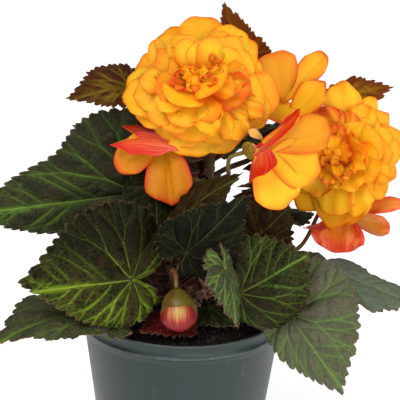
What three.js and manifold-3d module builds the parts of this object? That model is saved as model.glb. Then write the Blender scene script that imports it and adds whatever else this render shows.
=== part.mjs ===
// A tuberous begonia in bloom, in a round plastic nursery pot filled with peat.
// Millimetres, +Z up. The origin is the middle of the pot's underside, and the side that shows its
// flowers best faces -Y. Every leaf and tepal is a thin solid blade bent out of its own flat outline.
import * as THREE from 'three';
import { mergeVertices } from 'three/addons/utils/BufferGeometryUtils.js';
import Module from 'manifold-3d';

const wasm = await Module();
wasm.setup();

// Driving dimensions
const potHeight = 112;
const rimRadius = 61.6;
const beadRadius = 62.2;
const footRadius = 47;
const potWall = 1.3;
const potFloor = 1.6;
const collarHeight = 8.5;
const drainRadius = 4;
const drainCircle = 34;
const soilBelowRim = 5;
const soilMound = 4.5;
const seat = 0.3; // the gap left between two pieces that touch
const bladeThickness = 0.8;
const tepalThickness = 0.8;
const petioleRadius = 1.9;

const vec = (p) => new THREE.Vector3(...p);
const radians = THREE.MathUtils.degToRad;

// Solids

function solidOf(geometry) {
  const bare = geometry.clone();
  bare.deleteAttribute('normal');
  bare.deleteAttribute('uv');
  const merged = mergeVertices(bare, 1e-4);
  return new wasm.Manifold(new wasm.Mesh({
    numProp: 3,
    vertProperties: new Float32Array(merged.attributes.position.array),
    triVerts: new Uint32Array(merged.index.array),
  }));
}

function geometryOf(solid) {
  const mesh = solid.getMesh();
  const stride = mesh.numProp;
  const places = new Float32Array(mesh.numVert * 3);
  for (let i = 0; i < mesh.numVert; i++) {
    places.set(mesh.vertProperties.subarray(i * stride, i * stride + 3), i * 3);
  }
  const geometry = new THREE.BufferGeometry();
  geometry.setAttribute('position', new THREE.BufferAttribute(places, 3));
  geometry.setIndex(new THREE.BufferAttribute(new Uint32Array(mesh.triVerts), 1));
  geometry.computeVertexNormals();
  return geometry;
}

function geometryFrom(points, triangles) {
  const geometry = new THREE.BufferGeometry().setFromPoints(points);
  geometry.setIndex(triangles);
  return geometry;
}

const joined = (solids) => solids.reduce((whole, next) => whole.add(next));

// A closed solid through rings of points, one above the other, each turning left about the way they go.
function loft(rings) {
  const sides = rings[0].length;
  const points = rings.flat();
  const triangles = [];
  for (let r = 0; r + 1 < rings.length; r++) {
    for (let i = 0; i < sides; i++) {
      const a = r * sides + i;
      const b = r * sides + ((i + 1) % sides);
      triangles.push(a, b, b + sides, a, b + sides, a + sides);
    }
  }
  const middle = (ring) => ring.reduce((sum, p) => sum.add(p), new THREE.Vector3()).divideScalar(sides);
  const foot = points.push(middle(rings[0])) - 1;
  const head = points.push(middle(rings.at(-1))) - 1;
  const last = (rings.length - 1) * sides;
  for (let i = 0; i < sides; i++) {
    const next = (i + 1) % sides;
    triangles.push(foot, next, i, head, last + i, last + next);
  }
  return solidOf(geometryFrom(points, triangles));
}

// A round shoot along a smooth curve through places, its radius running evenly from foot to head.
function shoot(places, foot, head, sides, steps) {
  const curve = new THREE.CatmullRomCurve3(places);
  const frames = curve.computeFrenetFrames(steps);
  const rings = [];
  for (let i = 0; i <= steps; i++) {
    const middle = curve.getPointAt(i / steps);
    const radius = foot + ((head - foot) * i) / steps;
    const ring = [];
    for (let k = 0; k < sides; k++) {
      const turn = (2 * Math.PI * k) / sides;
      const arm = frames.normals[i].clone().multiplyScalar(Math.cos(turn));
      ring.push(arm.addScaledVector(frames.binormals[i], Math.sin(turn)).multiplyScalar(radius).add(middle));
    }
    rings.push(ring);
  }
  return loft(rings);
}

// A frame for a blade whose chord runs from start to end and that bends by `droop` over its length,
// away from the side it faces.
function bladeFrame(start, end, face, droop) {
  const chord = end.clone().sub(start);
  const reach = chord.length();
  const along = chord.normalize();
  const out = face.clone().addScaledVector(along, -face.dot(along)).normalize();
  const left = out.clone().cross(along);
  const half = droop / 2;
  return {
    start,
    left,
    length: Math.abs(half) < 1e-6 ? reach : (reach * half) / Math.sin(half),
    along: along.clone().multiplyScalar(Math.cos(half)).addScaledVector(out, Math.sin(half)),
    out: out.clone().multiplyScalar(Math.cos(half)).addScaledVector(along, -Math.sin(half)),
  };
}

// How far an arc of the given curvature has gone forward and down after a length along it.
function arcAt(length, curvature) {
  if (Math.abs(curvature) < 1e-9) return { forward: length, down: 0 };
  const turn = length * curvature;
  return { forward: Math.sin(turn) / curvature, down: (Math.cos(turn) - 1) / curvature };
}

// The place, in space, of a point of the flat blade: a along its middle line, b to its left, lift above it.
// Each side bends by its own angle over the given half width.
function bend(frame, droop, sideBend, halfWidth, a, b, lift) {
  const bow = arcAt(a, droop / frame.length);
  const across = arcAt(Math.abs(b), sideBend(b) / halfWidth);
  const turn = (droop / frame.length) * a;
  const normal = frame.out.clone().multiplyScalar(Math.cos(turn));
  normal.addScaledVector(frame.along, Math.sin(turn));
  return frame.start.clone()
    .addScaledVector(frame.along, bow.forward)
    .addScaledVector(frame.out, bow.down)
    .addScaledVector(frame.left, Math.sign(b) * across.forward)
    .addScaledVector(normal, across.down + lift);
}

// Gives a surface a thickness, half of it to either side, and closes it round its edge.
function thicken(places, faces, edge, thickness) {
  const sheet = geometryFrom(places, faces.flat());
  sheet.computeVertexNormals();
  const normal = (i) => new THREE.Vector3().fromBufferAttribute(sheet.attributes.normal, i);
  const shifted = (amount) => places.map((p, i) => p.clone().addScaledVector(normal(i), amount));
  const count = places.length;
  const triangles = [
    ...faces.flat(),
    ...faces.flatMap(([a, b, c]) => [a + count, c + count, b + count]),
    ...edge.flatMap((a, i) => {
      const b = edge[(i + 1) % edge.length];
      return [a, b + count, b, a, a + count, b + count];
    }),
  ];
  return solidOf(geometryFrom([...shifted(thickness / 2), ...shifted(-thickness / 2)], triangles));
}

// Leaves

// How far a blade reaches from its petiole, by the angle from its midrib: a drawn-out tip, two rounded
// basal lobes and the notch between them. `lop` makes its left side the larger, `lobes` scales the base.
function bladeReach(angle, lop, lobes) {
  const away = Math.abs(angle);
  const tip = 0.34 * Math.exp(-away / radians(16));
  const notch = 0.42 * Math.exp(-(((Math.PI - away) / radians(22)) ** 2));
  const base = 1 - (1 - lobes) * Math.max(0, -Math.cos(angle));
  return (0.56 + 0.1 * Math.cos(angle) + tip - notch) * (1 + lop * Math.sin(angle)) * base;
}

const toothDepth = 0.055;

// Angles round the outline, from notch to notch, that are evenly spaced along its edge.
function evenAngles(lop, lobes, count) {
  const fine = 720;
  const angles = Array.from({ length: fine + 1 }, (_, i) => -Math.PI + (2 * Math.PI * i) / fine);
  const at = (t) => new THREE.Vector2(Math.cos(t), Math.sin(t)).multiplyScalar(bladeReach(t, lop, lobes));
  const run = [0];
  for (let i = 1; i <= fine; i++) run.push(run[i - 1] + at(angles[i]).distanceTo(at(angles[i - 1])));
  let k = 0;
  return Array.from({ length: count }, (_, i) => {
    const want = (run[fine] * i) / count;
    while (run[k + 1] < want) k++;
    return angles[k] + ((want - run[k]) / (run[k + 1] - run[k])) * (angles[k + 1] - angles[k]);
  });
}

const usualLeaf = { lop: 0, lobes: 1, slim: 1, droop: 30, left: 25, right: 25, wave: 0.02, pleat: 0.025 };

function leafBlade(leaf) {
  const { lop, lobes, slim, droop, left, right, wave, pleat } = { ...usualLeaf, ...leaf };
  const bow = radians(droop);
  const frame = bladeFrame(vec(leaf.joint), vec(leaf.tip), vec(leaf.face), bow);
  const size = frame.length;
  const place = (angle, share, tooth) => {
    const reach = bladeReach(angle, lop, lobes) * size * share * tooth;
    const a = reach * Math.cos(angle);
    const b = slim * reach * Math.sin(angle);
    const ribs = pleat * size * 2 * share * (1 - share) * (1 - Math.cos(9 * angle));
    const ripple = wave * size * share ** 2 * Math.sin(7 * angle + 1);
    return bend(frame, bow, (s) => radians(s > 0 ? left : right), 0.56 * size, a, b, ribs + ripple);
  };
  const teeth = size > 55 ? 21 : size > 32 ? 18 : 14;
  const rim = evenAngles(lop, lobes, teeth * 2);
  const ring = rim.filter((_, i) => i % 2 === 0);
  const places = [frame.start.clone()];
  places.push(...ring.map((angle) => place(angle, 0.55, 1)));
  places.push(...rim.map((angle, i) => place(angle, 1, i % 2 ? 1 - toothDepth : 1)));
  const faces = [];
  const inner = (i) => 1 + (i % teeth);
  const outer = (i) => 1 + teeth + (i % (2 * teeth));
  for (let i = 0; i < teeth; i++) {
    faces.push([0, inner(i), inner(i + 1)]);
    faces.push([inner(i), outer(2 * i), outer(2 * i + 1)]);
    faces.push([inner(i), outer(2 * i + 1), inner(i + 1)]);
    faces.push([inner(i + 1), outer(2 * i + 1), outer(2 * i + 2)]);
  }
  const edge = rim.map((_, i) => outer(i));
  return thicken(places, faces, edge, bladeThickness);
}

// Each leaf: where its petiole meets the blade, its tip, the way its upper side faces, and how far its
// length (droop) and its two sides bend down, in degrees. `stem` is the stem its petiole grows from.
const leaves = {
  leaf_left_large: {
    joint: [-28, -5, 189], tip: [-122, -17, 182], face: [0.08, -0.99, -0.03], lop: -0.1, lobes: 0.45,
    slim: 0.82, droop: 5, left: 58, right: 18, stem: 'front', via: [[-14, 9, 180]],
  },
  leaf_left_low: {
    joint: [-28, -58, 151], tip: [-92, -74, 153], face: [0.04, -0.9, 0.41], lop: -0.2, lobes: 0.9,
    droop: 38, left: 58, right: -5, stem: 'front',
  },
  leaf_left_rim: {
    joint: [-47, -42, 123], tip: [-106, -74, 114], face: [-0.26, -0.33, 0.9], lop: -0.22, lobes: 0.6,
    droop: 54, left: -10, right: 30, stem: 'front', via: [[-34, -30, 118]],
  },
  leaf_middle: {
    joint: [2, -61, 169], tip: [37, -61, 206], face: [0.15, -0.98, 0], lop: 0.2, lobes: 0.75,
    droop: 38, left: 14, right: 12, stem: 'front',
  },
  leaf_upright: {
    joint: [-4, -32, 178], tip: [34, -42, 213], face: [-0.6, -0.4, 0.68], lobes: 0.35, slim: 0.62,
    droop: 38, left: 30, right: 20, stem: 'front',
  },
  leaf_right_front: {
    joint: [33, -62, 146], tip: [83, -56, 178], face: [0.01, -0.92, 0.38], lop: -0.12, lobes: 0.38,
    droop: 52, left: 14, right: 66, stem: 'right',
  },
  leaf_right_hanging: {
    joint: [62, -46, 128], tip: [94, -78, 92], face: [-0.15, -0.96, 0.12], lop: 0.3,
    droop: 8, left: -8, right: 44, stem: 'right',
  },
  leaf_folded: {
    joint: [24, -81, 169], tip: [31, -87, 135], face: [0.75, -0.6, 0.35], droop: 25, left: 36, right: 40,
    stem: 'front', via: [[6, -46, 138], [15, -69, 150]],
  },
  leaf_right_far: {
    joint: [80, -8, 143], tip: [142, -26, 124], face: [0.12, -0.27, 0.95], lop: 0.2, lobes: 0.8,
    droop: 20, left: 45, right: -12, stem: 'right',
  },
  leaf_upper_left: {
    joint: [-34, 2, 249], tip: [-71, -12, 243], face: [-0.1, -0.7, 0.7], lop: -0.2, slim: 0.78,
    droop: 30, left: 20, right: 20, stem: 'back',
  },
  leaf_top: {
    joint: [35, 28, 263], tip: [21, 20, 299], face: [-0.7, -0.65, 0.25], lop: -0.1, lobes: 0.1, slim: 0.85,
    droop: 25, left: 20, right: 20, stem: 'back', via: [[35, 31, 252]],
  },
  leaf_upper_right: {
    joint: [88, 44, 238], tip: [123, 38, 249], face: [-0.15, -0.5, 0.85], droop: 25, left: 20, right: 30,
    stem: 'right',
  },
  leaf_right_small: {
    joint: [43, -24, 166], tip: [57, -24, 192], face: [0.1, -0.9, 0.4], droop: 20, left: 15, right: 15,
    stem: 'right',
  },
  leaf_shaded: {
    joint: [-17, -20, 197], tip: [-22, -27, 175], face: [0.1, -0.95, 0.3], lobes: 0.5, slim: 0.85,
    droop: 20, left: 20, right: 20, stem: 'front',
  },
  leaf_on_soil: {
    joint: [0, -38, 121], tip: [-21, -50, 118], face: [0, -0.2, 1], lobes: 0.2, droop: 20, left: 20,
    right: 20, stem: 'front',
  },
  leaf_by_bud: {
    joint: [17, -36, 126], tip: [33, -50, 120], face: [0.1, -0.6, 0.8], droop: 20, left: 20, right: 20,
    stem: 'right',
  },
  leaf_inner: {
    joint: [13, 5, 158], tip: [13, -2, 120], face: [0.1, -0.95, 0.3], droop: 20, left: 20, right: 20,
    stem: 'back',
  },
  leaf_back_left_low: {
    joint: [-36, 42, 151], tip: [-86, 68, 138], face: [-0.3, 0.45, 0.85], droop: 36, stem: 'back',
  },
  leaf_back_left: {
    joint: [-24, 48, 172], tip: [-58, 94, 156], face: [-0.2, 0.6, 0.75], droop: 34, stem: 'back',
  },
  leaf_back_low: {
    joint: [9, 60, 137], tip: [2, 112, 118], face: [0, 0.6, 0.8], droop: 38, stem: 'back',
  },
  leaf_back_right: {
    joint: [46, 48, 154], tip: [84, 90, 142], face: [0.2, 0.6, 0.75], droop: 34, stem: 'right',
  },
  leaf_back_upper: {
    joint: [-2, 46, 212], tip: [-14, 92, 216], face: [0, 0.5, 0.85], lobes: 0.8, droop: 36,
    stem: 'back',
  },
  leaf_back_upper_left: {
    joint: [-30, 28, 206], tip: [-74, 50, 210], face: [-0.3, 0.4, 0.85], droop: 34, stem: 'back',
  },
  leaf_back_upper_right: {
    joint: [42, 48, 206], tip: [72, 86, 208], face: [0.2, 0.5, 0.8], droop: 34, stem: 'back',
  },
};

// Tepals

// Half of a tepal's width, as a share of its greatest half width, along its length.
const tepalWidth = (t) => 0.22 + 1.43 * t + 0.88 * t ** 2 - 1.91 * t ** 3;

// A tepal from its base to its tip. It cups up across its width, curls back along its length, and its
// end is bowed.
function tepal({ base, tip, face, width, cup = 30, curl = 20, ruffle = 0 }, rows, columns) {
  const bow = radians(curl);
  const frame = bladeFrame(base, tip, face, bow);
  const halfWidth = width / 2;
  const places = [];
  for (let r = 0; r <= rows; r++) {
    for (let c = 0; c <= columns; c++) {
      const t = r / rows;
      const q = (2 * c) / columns - 1;
      const a = frame.length * (t - 0.16 * q ** 2 * t ** 4);
      const b = q * halfWidth * tepalWidth(t);
      const lift = ruffle * frame.length * t ** 2 * Math.abs(q) * (c % 2 ? 1 : -1);
      places.push(bend(frame, bow, () => radians(-cup), halfWidth, a, b, lift));
    }
  }
  const at = (r, c) => r * (columns + 1) + c;
  const faces = [];
  for (let r = 0; r < rows; r++) {
    for (let c = 0; c < columns; c++) {
      faces.push([at(r, c), at(r + 1, c), at(r + 1, c + 1)]);
      faces.push([at(r, c), at(r + 1, c + 1), at(r, c + 1)]);
    }
  }
  const flipped = faces.map(([a, b, c]) => [a, c, b]);
  const edge = [];
  for (let c = columns; c > 0; c--) edge.push(at(0, c));
  for (let r = 0; r < rows; r++) edge.push(at(r, 0));
  for (let c = 0; c < columns; c++) edge.push(at(rows, c));
  for (let r = rows; r > 0; r--) edge.push(at(r, columns));
  return thicken(places, flipped, edge.reverse(), tepalThickness);
}

// The small round heart that a bloom's tepals grow from.
function heart(place, radius) {
  return solidOf(new THREE.IcosahedronGeometry(radius, 0)).translate(place.toArray());
}

// Rounds of tepals from the guard tepals inwards: how many, how long, how wide, how far they open from
// the flower's axis, how far forward they are set, and how they cup and curl.
const rounds = [
  { count: 6, reach: 1, width: 0.82, open: 99, ahead: 0, cup: 14, curl: 16, twist: 10 },
  { count: 6, reach: 0.93, width: 0.78, open: 84, ahead: 0.08, cup: 18, curl: 14, twist: 12 },
  { count: 6, reach: 0.8, width: 0.7, open: 70, ahead: 0.16, cup: 22, curl: 10, twist: 14 },
  { count: 5, reach: 0.62, width: 0.56, open: 54, ahead: 0.24, cup: 30, curl: 6, twist: 18 },
  { count: 4, reach: 0.42, width: 0.4, open: 34, ahead: 0.3, cup: 50, curl: -10, twist: 22 },
];

function doubleFlower({ base, aim, radius, narrow = 0, turn = 0 }) {
  const middle = vec(base);
  const axis = vec(aim).normalize();
  const side = new THREE.Vector3(0, 0, 1).cross(axis).normalize();
  const top = axis.clone().cross(side);
  const tepals = [];
  rounds.forEach((round, k) => {
    for (let i = 0; i < round.count; i++) {
      const angle = 2 * Math.PI * ((i + 0.5 * (k % 2)) / round.count) + radians(turn + 23 * k);
      const outward = side.clone().multiplyScalar(Math.cos(angle)).addScaledVector(top, Math.sin(angle));
      const open = radians(round.open);
      const way = axis.clone().multiplyScalar(Math.cos(open)).addScaledVector(outward, Math.sin(open));
      const face = axis.clone().multiplyScalar(Math.sin(open)).addScaledVector(outward, -Math.cos(open));
      face.applyAxisAngle(way, radians(round.twist));
      const reach = radius * round.reach * (1 - narrow * Math.abs(Math.cos(angle)));
      const root = middle.clone().addScaledVector(axis, radius * round.ahead);
      root.addScaledVector(outward, 0.04 * radius);
      const tip = root.clone().addScaledVector(way, reach);
      const { cup, curl } = round;
      tepals.push(tepal({ base: root, tip, face, width: radius * round.width, cup, curl }, 3, 2));
    }
  });
  const core = [0.02, 0.16, 0.3].map((ahead) => {
    const place = middle.clone().addScaledVector(axis, radius * ahead);
    return heart(place, 0.13 * radius);
  });
  return joined([...core, ...tepals]);
}

const doubleFlowers = {
  flower_double_left: { base: [7, -16, 253], aim: [-0.03, -0.92, 0.39], radius: 45, turn: 10 },
  flower_double_right: { base: [97, 8, 211], aim: [-0.2, -0.93, 0.28], radius: 45, narrow: 0.26, turn: 35 },
};

// Single flowers: each tepal has its own tip, facing and width. The ovary stands behind the tepals.
const singleFlowers = {
  flower_single_top: {
    base: [57, 10, 241], ovary: [49, 18, 234],
    tepals: [
      { tip: [49, 12, 271], face: [0.1, -0.9, 0.3], width: 29, cup: 25, curl: 20 },
      { tip: [79, 16, 271], face: [-0.3, -0.85, 0.3], width: 22, cup: 40, curl: 15 },
      { tip: [82, 6, 254], face: [-0.3, -0.8, 0.45], width: 19, cup: 35, curl: 15 },
      { tip: [52, -3, 236], face: [0, -0.5, 0.85], width: 15, cup: 20, curl: 20 },
    ],
  },
  flower_single_right: {
    base: [42, -43, 228], ovary: [33, -40, 223],
    tepals: [
      { tip: [63, -40, 248], face: [0.6, -0.25, -0.7], width: 14, cup: 20, curl: 15 },
      { tip: [83, -38, 235], face: [0.1, -0.92, 0.3], width: 27, cup: 15, curl: 20 },
      { tip: [77, -46, 210], face: [0.1, -0.9, 0.4], width: 22, cup: 15, curl: 20 },
      { tip: [56, -54, 192], face: [0.2, -0.93, 0.3], width: 30, cup: 20, curl: 25 },
      { tip: [41, -64, 212], face: [0.75, 0.5, -0.3], width: 20, cup: 45, curl: 20 },
    ],
  },
  flower_single_left: {
    base: [-13, -12, 223], ovary: [-9, -2, 218],
    tepals: [
      { tip: [-42, -18, 232], face: [-0.2, 0.5, -0.85], width: 14, cup: 25, curl: 10 },
      { tip: [-45, -26, 226], face: [-0.1, 0.75, -0.7], width: 22, cup: 35, curl: 10 },
      { tip: [-39, -31, 216], face: [0.3, -0.85, 0.2], width: 20, cup: 20, curl: 15 },
      { tip: [-7, -31, 188], face: [0, -0.95, -0.1], width: 32, cup: 20, curl: 14 },
    ],
  },
  flower_single_low: {
    base: [98, 20, 168], ovary: [92, 29, 167],
    tepals: [
      { tip: [126, 2, 173], face: [0.1, -0.85, -0.5], width: 24, cup: 25, curl: 20 },
      { tip: [88, -2, 151], face: [-0.2, -0.9, -0.3], width: 24, cup: 25, curl: 20 },
      { tip: [73, 6, 162], face: [-0.6, -0.4, -0.6], width: 14, cup: 30, curl: 20 },
      { tip: [134, 10, 180], face: [0.2, -0.6, 0.7], width: 12, cup: 30, curl: 15 },
    ],
  },
};

function singleFlower({ base, tepals }) {
  const middle = vec(base);
  const blades = tepals.map((shape) => {
    const tip = vec(shape.tip);
    const root = middle.clone().addScaledVector(tip.clone().sub(middle).normalize(), 1);
    return tepal({ ...shape, base: root, tip, face: vec(shape.face) }, 3, 2);
  });
  return joined([heart(middle, 3.2), ...blades]);
}

// A body of rings on a straight axis: `profile` holds how far along and how wide each ring is, and
// `section` how far each of its sides stands out.
function turned(start, end, radius, profile, section) {
  const axis = end.clone().sub(start);
  const across = new THREE.Vector3(0, 0, 1).cross(axis).normalize();
  const up = axis.clone().normalize().cross(across);
  return loft(profile.map(([along, wide]) => section.map((stand, k) => {
    const turn = (2 * Math.PI * k) / section.length;
    const reach = radius * wide * stand;
    return start.clone().addScaledVector(axis, along)
      .addScaledVector(across, reach * Math.cos(turn))
      .addScaledVector(up, reach * Math.sin(turn));
  })));
}

// An ovary carries three wings.
const wings = Array.from({ length: 12 }, (_, k) => (k % 4 === 0 ? 1 : 0.5));
const ovaryProfile = [[0, 0.3], [0.25, 0.85], [0.6, 1], [0.85, 0.8], [1, 0.45]];

function ovaryOf({ base, ovary }) {
  const head = vec(base);
  const foot = vec(ovary);
  const way = head.clone().sub(foot).normalize();
  return turned(foot, head.addScaledVector(way, -3.2 - seat), 6, ovaryProfile, wings);
}

const budTop = [-3, -54, 145];
const budTip = [0, -60, 121];
const budMiddle = vec(budTop).lerp(vec(budTip), 0.36);
const budWay = vec(budTip).sub(vec(budTop)).normalize();
const budSection = Array.from({ length: 12 }, (_, k) => (k % 6 === 0 ? 1.06 : 1 - 0.08 * (k % 2)));
const budProfile = [[0, 0.78], [0.22, 0.96], [0.5, 1], [0.75, 0.82], [0.93, 0.45], [1, 0.12]];
const capProfile = [[0, 0.22], [0.25, 0.55], [0.6, 0.85], [1, 1]];

// Stems

// Each stem stands in its own hole in the soil, and carries petioles and flower stalks.
const stems = {
  front: {
    places: [[-6, -8, 84], [-6, -8, 112], [-6, -9, 150], [-3, -6, 196], [4, -3, 236]],
    foot: 4.6,
    head: 3,
  },
  back: {
    places: [[10, 26, 84], [10, 26, 112], [12, 27, 160], [16, 22, 215], [26, 22, 250]],
    foot: 4.4,
    head: 2.2,
  },
  right: {
    places: [[36, 4, 84], [36, 4, 112], [44, 8, 150], [58, 18, 190], [70, 24, 214]],
    foot: 4.4,
    head: 2.4,
  },
};

// How far a shoot stops short of the middle of what it carries.
const bladeStop = bladeThickness / 2 + seat + 0.5;

// The place on a stem that lies well below a point, where its shoot leaves the stem.
function rootBelow(spine, end, foot, head) {
  const away = Math.hypot(end.x - foot[0], end.y - foot[1]);
  const want = Math.max(end.z - 0.5 * away, foot[2] + 37);
  const height = (share) => spine.getPointAt(share).z;
  let share = 0.2;
  while (share < head && height(share) < want) share += 0.01;
  return spine.getPointAt(share);
}

function stemOf(name) {
  const { places, foot, head } = stems[name];
  const spine = new THREE.CatmullRomCurve3(places.map(vec));
  const parts = [shoot(places.map(vec), foot, head, 8, 8)];
  const branch = (end, way, radius, via = [], highest = 0.97) => {
    const root = rootBelow(spine, end, places[0], highest);
    const reach = root.distanceTo(end);
    const outward = end.clone().sub(root).setZ(0).normalize();
    const lift = new THREE.Vector3(0, 0, 0.1 * reach);
    const start = root.clone().addScaledVector(outward, 0.3 * reach).add(lift);
    const behind = end.clone().addScaledVector(way, -Math.min(9, 0.22 * reach));
    const path = [root, ...(via.length ? via.map(vec) : [start]), behind, end];
    parts.push(shoot(path, radius, radius * 0.8, 5, 5));
  };
  for (const leaf of Object.values(leaves)) {
    if (leaf.stem !== name) continue;
    const { droop = 30 } = leaf;
    const { out } = bladeFrame(vec(leaf.joint), vec(leaf.tip), vec(leaf.face), radians(droop));
    branch(vec(leaf.joint).addScaledVector(out, -bladeStop), out, petioleRadius, leaf.via);
  }
  for (const stalk of stalks) {
    if (stalk.stem !== name) continue;
    const way = vec(stalk.way).normalize();
    branch(vec(stalk.end).addScaledVector(way, -stalk.stop - seat), way, stalk.radius, stalk.via);
  }
  return joined(parts);
}

const between = (from, to) => vec(to).sub(vec(from)).toArray();
const { flower_double_left: leftBloom, flower_double_right: rightBloom } = doubleFlowers;
const singleStalks = [
  { stem: 'back' },
  { stem: 'front', via: [[24, -28, 198]] },
  { stem: 'front' },
  { stem: 'right' },
];
const stalks = [
  { end: leftBloom.base, way: leftBloom.aim, stop: 4.6, radius: 2.6, stem: 'front' },
  { end: rightBloom.base, way: rightBloom.aim, stop: 4.2, radius: 2.4, stem: 'right' },
  { end: budTop, way: budWay.toArray(), stop: 0, radius: 1.4, stem: 'front', via: [[-6, -40, 150]] },
  ...Object.values(singleFlowers).map(({ base, ovary }, k) => (
    { end: ovary, way: between(ovary, base), stop: 0, radius: 1.5, ...singleStalks[k] }
  )),
];

// Pot and soil

function turnedAbout(profile, segments) {
  const points = profile.map(([r, z]) => new THREE.Vector2(r, z));
  return solidOf(new THREE.LatheGeometry(points, segments).rotateX(Math.PI / 2));
}

function pot() {
  const neck = potHeight - collarHeight;
  const shell = turnedAbout([
    [0, 0], [footRadius - 0.8, 0], [footRadius, 0.8],
    [beadRadius - 1.5, neck - 0.8], [beadRadius, neck - 0.2], [beadRadius, neck + 0.4],
    [rimRadius - 0.9, neck + 1.2],
    [rimRadius - 0.4, potHeight - 1.6], [rimRadius, potHeight - 1], [rimRadius - 0.4, potHeight],
    [rimRadius - potWall, potHeight], [rimRadius - 0.6 - potWall, potHeight - 1.6],
    [beadRadius - 1.7 - potWall, neck], [footRadius - potWall, potFloor], [0, potFloor],
  ], 36);
  const drains = [0, 1, 2, 3, 4].map((k) => {
    const turn = (k / 5) * 2 * Math.PI;
    return solidOf(new THREE.CylinderGeometry(drainRadius, drainRadius, 6, 8).rotateX(Math.PI / 2))
      .translate([drainCircle * Math.cos(turn), drainCircle * Math.sin(turn), potFloor / 2]);
  });
  return drains.reduce((body, drain) => body.subtract(drain), shell);
}

function soil() {
  const neck = potHeight - collarHeight;
  const inset = potWall + seat + 0.1;
  const sides = 30;
  const ring = (radius, height) => Array.from({ length: sides }, (_, k) => {
    const turn = (2 * Math.PI * k) / sides;
    const share = radius / rimRadius;
    const lumps = 1.1 * Math.sin(5 * turn + 9 * share) + 0.9 * Math.sin(8 * turn - 14 * share + 1);
    const level = height ?? potHeight - soilBelowRim + soilMound * (1 - share ** 2) + lumps;
    return new THREE.Vector3(radius * Math.cos(turn), radius * Math.sin(turn), level);
  });
  const fill = loft([
    ring(footRadius - inset - 0.2, potFloor + seat),
    ring(beadRadius - 1.9 - inset, neck - 0.5),
    ring(beadRadius - 1.8 - inset),
    ring(46), ring(32), ring(17),
  ]);
  return Object.values(stems).reduce((body, { places, foot }) => {
    const [x, y] = places[0];
    const radius = (foot + 0.45) / Math.cos(Math.PI / 12);
    const hole = new THREE.CylinderGeometry(radius, radius, 60, 12).rotateX(Math.PI / 2);
    return body.subtract(solidOf(hole).translate([x, y, places[0][2] - seat + 30]));
  }, fill);
}

// Build

const plant = new THREE.Group();
const nodes = {};

function place(name, solid, color, roughness, metalness = 0) {
  const material = new THREE.MeshStandardMaterial({ color, roughness, metalness });
  const mesh = new THREE.Mesh(geometryOf(solid), material);
  mesh.name = name;
  plant.add(mesh);
  nodes[name] = solid;
}

place('pot', pot(), 0x4a5656, 0.5);
place('soil', soil(), 0x1d1815, 0.95);
for (const name of Object.keys(stems)) place(`stem_${name}`, stemOf(name), 0x5b4630, 0.6);
for (const [name, leaf] of Object.entries(leaves)) place(name, leafBlade(leaf), 0x2f3a22, 0.55);
for (const [name, flower] of Object.entries(doubleFlowers)) place(name, doubleFlower(flower), 0xf8a81c, 0.5);
for (const [name, flower] of Object.entries(singleFlowers)) {
  place(name, singleFlower(flower), 0xf6a420, 0.5);
  place(name.replace('flower_single', 'ovary'), ovaryOf(flower), 0x8a8a4a, 0.5);
}
place('bud_cap', turned(vec(budTop), budMiddle, 8.4, capProfile, budSection), 0x7c6a24, 0.5);
const budFoot = budMiddle.clone().addScaledVector(budWay, seat);
place('bud', turned(budFoot, vec(budTip), 9.4, budProfile, budSection), 0xd8735c, 0.5);

export default plant;
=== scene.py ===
import math
import bpy
import numpy as np
from mathutils import Matrix


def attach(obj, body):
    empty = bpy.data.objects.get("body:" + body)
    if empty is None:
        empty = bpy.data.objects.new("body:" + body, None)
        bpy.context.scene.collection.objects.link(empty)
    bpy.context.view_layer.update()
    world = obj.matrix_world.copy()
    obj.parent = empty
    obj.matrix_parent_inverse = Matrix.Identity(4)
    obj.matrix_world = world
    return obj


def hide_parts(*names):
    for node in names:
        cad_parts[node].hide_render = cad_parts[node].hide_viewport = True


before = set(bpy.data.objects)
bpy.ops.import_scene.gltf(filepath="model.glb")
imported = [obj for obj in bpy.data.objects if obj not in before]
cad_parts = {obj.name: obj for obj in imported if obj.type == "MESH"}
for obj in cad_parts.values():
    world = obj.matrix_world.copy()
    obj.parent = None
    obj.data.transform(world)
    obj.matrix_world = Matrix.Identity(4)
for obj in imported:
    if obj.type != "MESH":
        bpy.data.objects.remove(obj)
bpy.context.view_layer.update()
mm = 0.001  # places and sizes below are in millimetres, and a mesh gets them in metres
up = np.array([0.0, 0.0, 1.0])
print("frame loaded:", len(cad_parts), "nodes")


# Shader building

class Link:  # a socket that can stand in a sum
    def __init__(self, look, socket):
        self.look = look
        self.socket = socket

    def math(self, operation, first, second):
        return self.look.add("ShaderNodeMath", {"operation": operation}, {0: first, 1: second})

    def __add__(self, other):
        return self.math("ADD", self, other)

    def __radd__(self, other):
        return self.math("ADD", other, self)

    def __sub__(self, other):
        return self.math("SUBTRACT", self, other)

    def __rsub__(self, other):
        return self.math("SUBTRACT", other, self)

    def __mul__(self, other):
        return self.math("MULTIPLY", self, other)

    def __rmul__(self, other):
        return self.math("MULTIPLY", other, self)

    def __pow__(self, other):
        return self.math("POWER", self, other)


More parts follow.
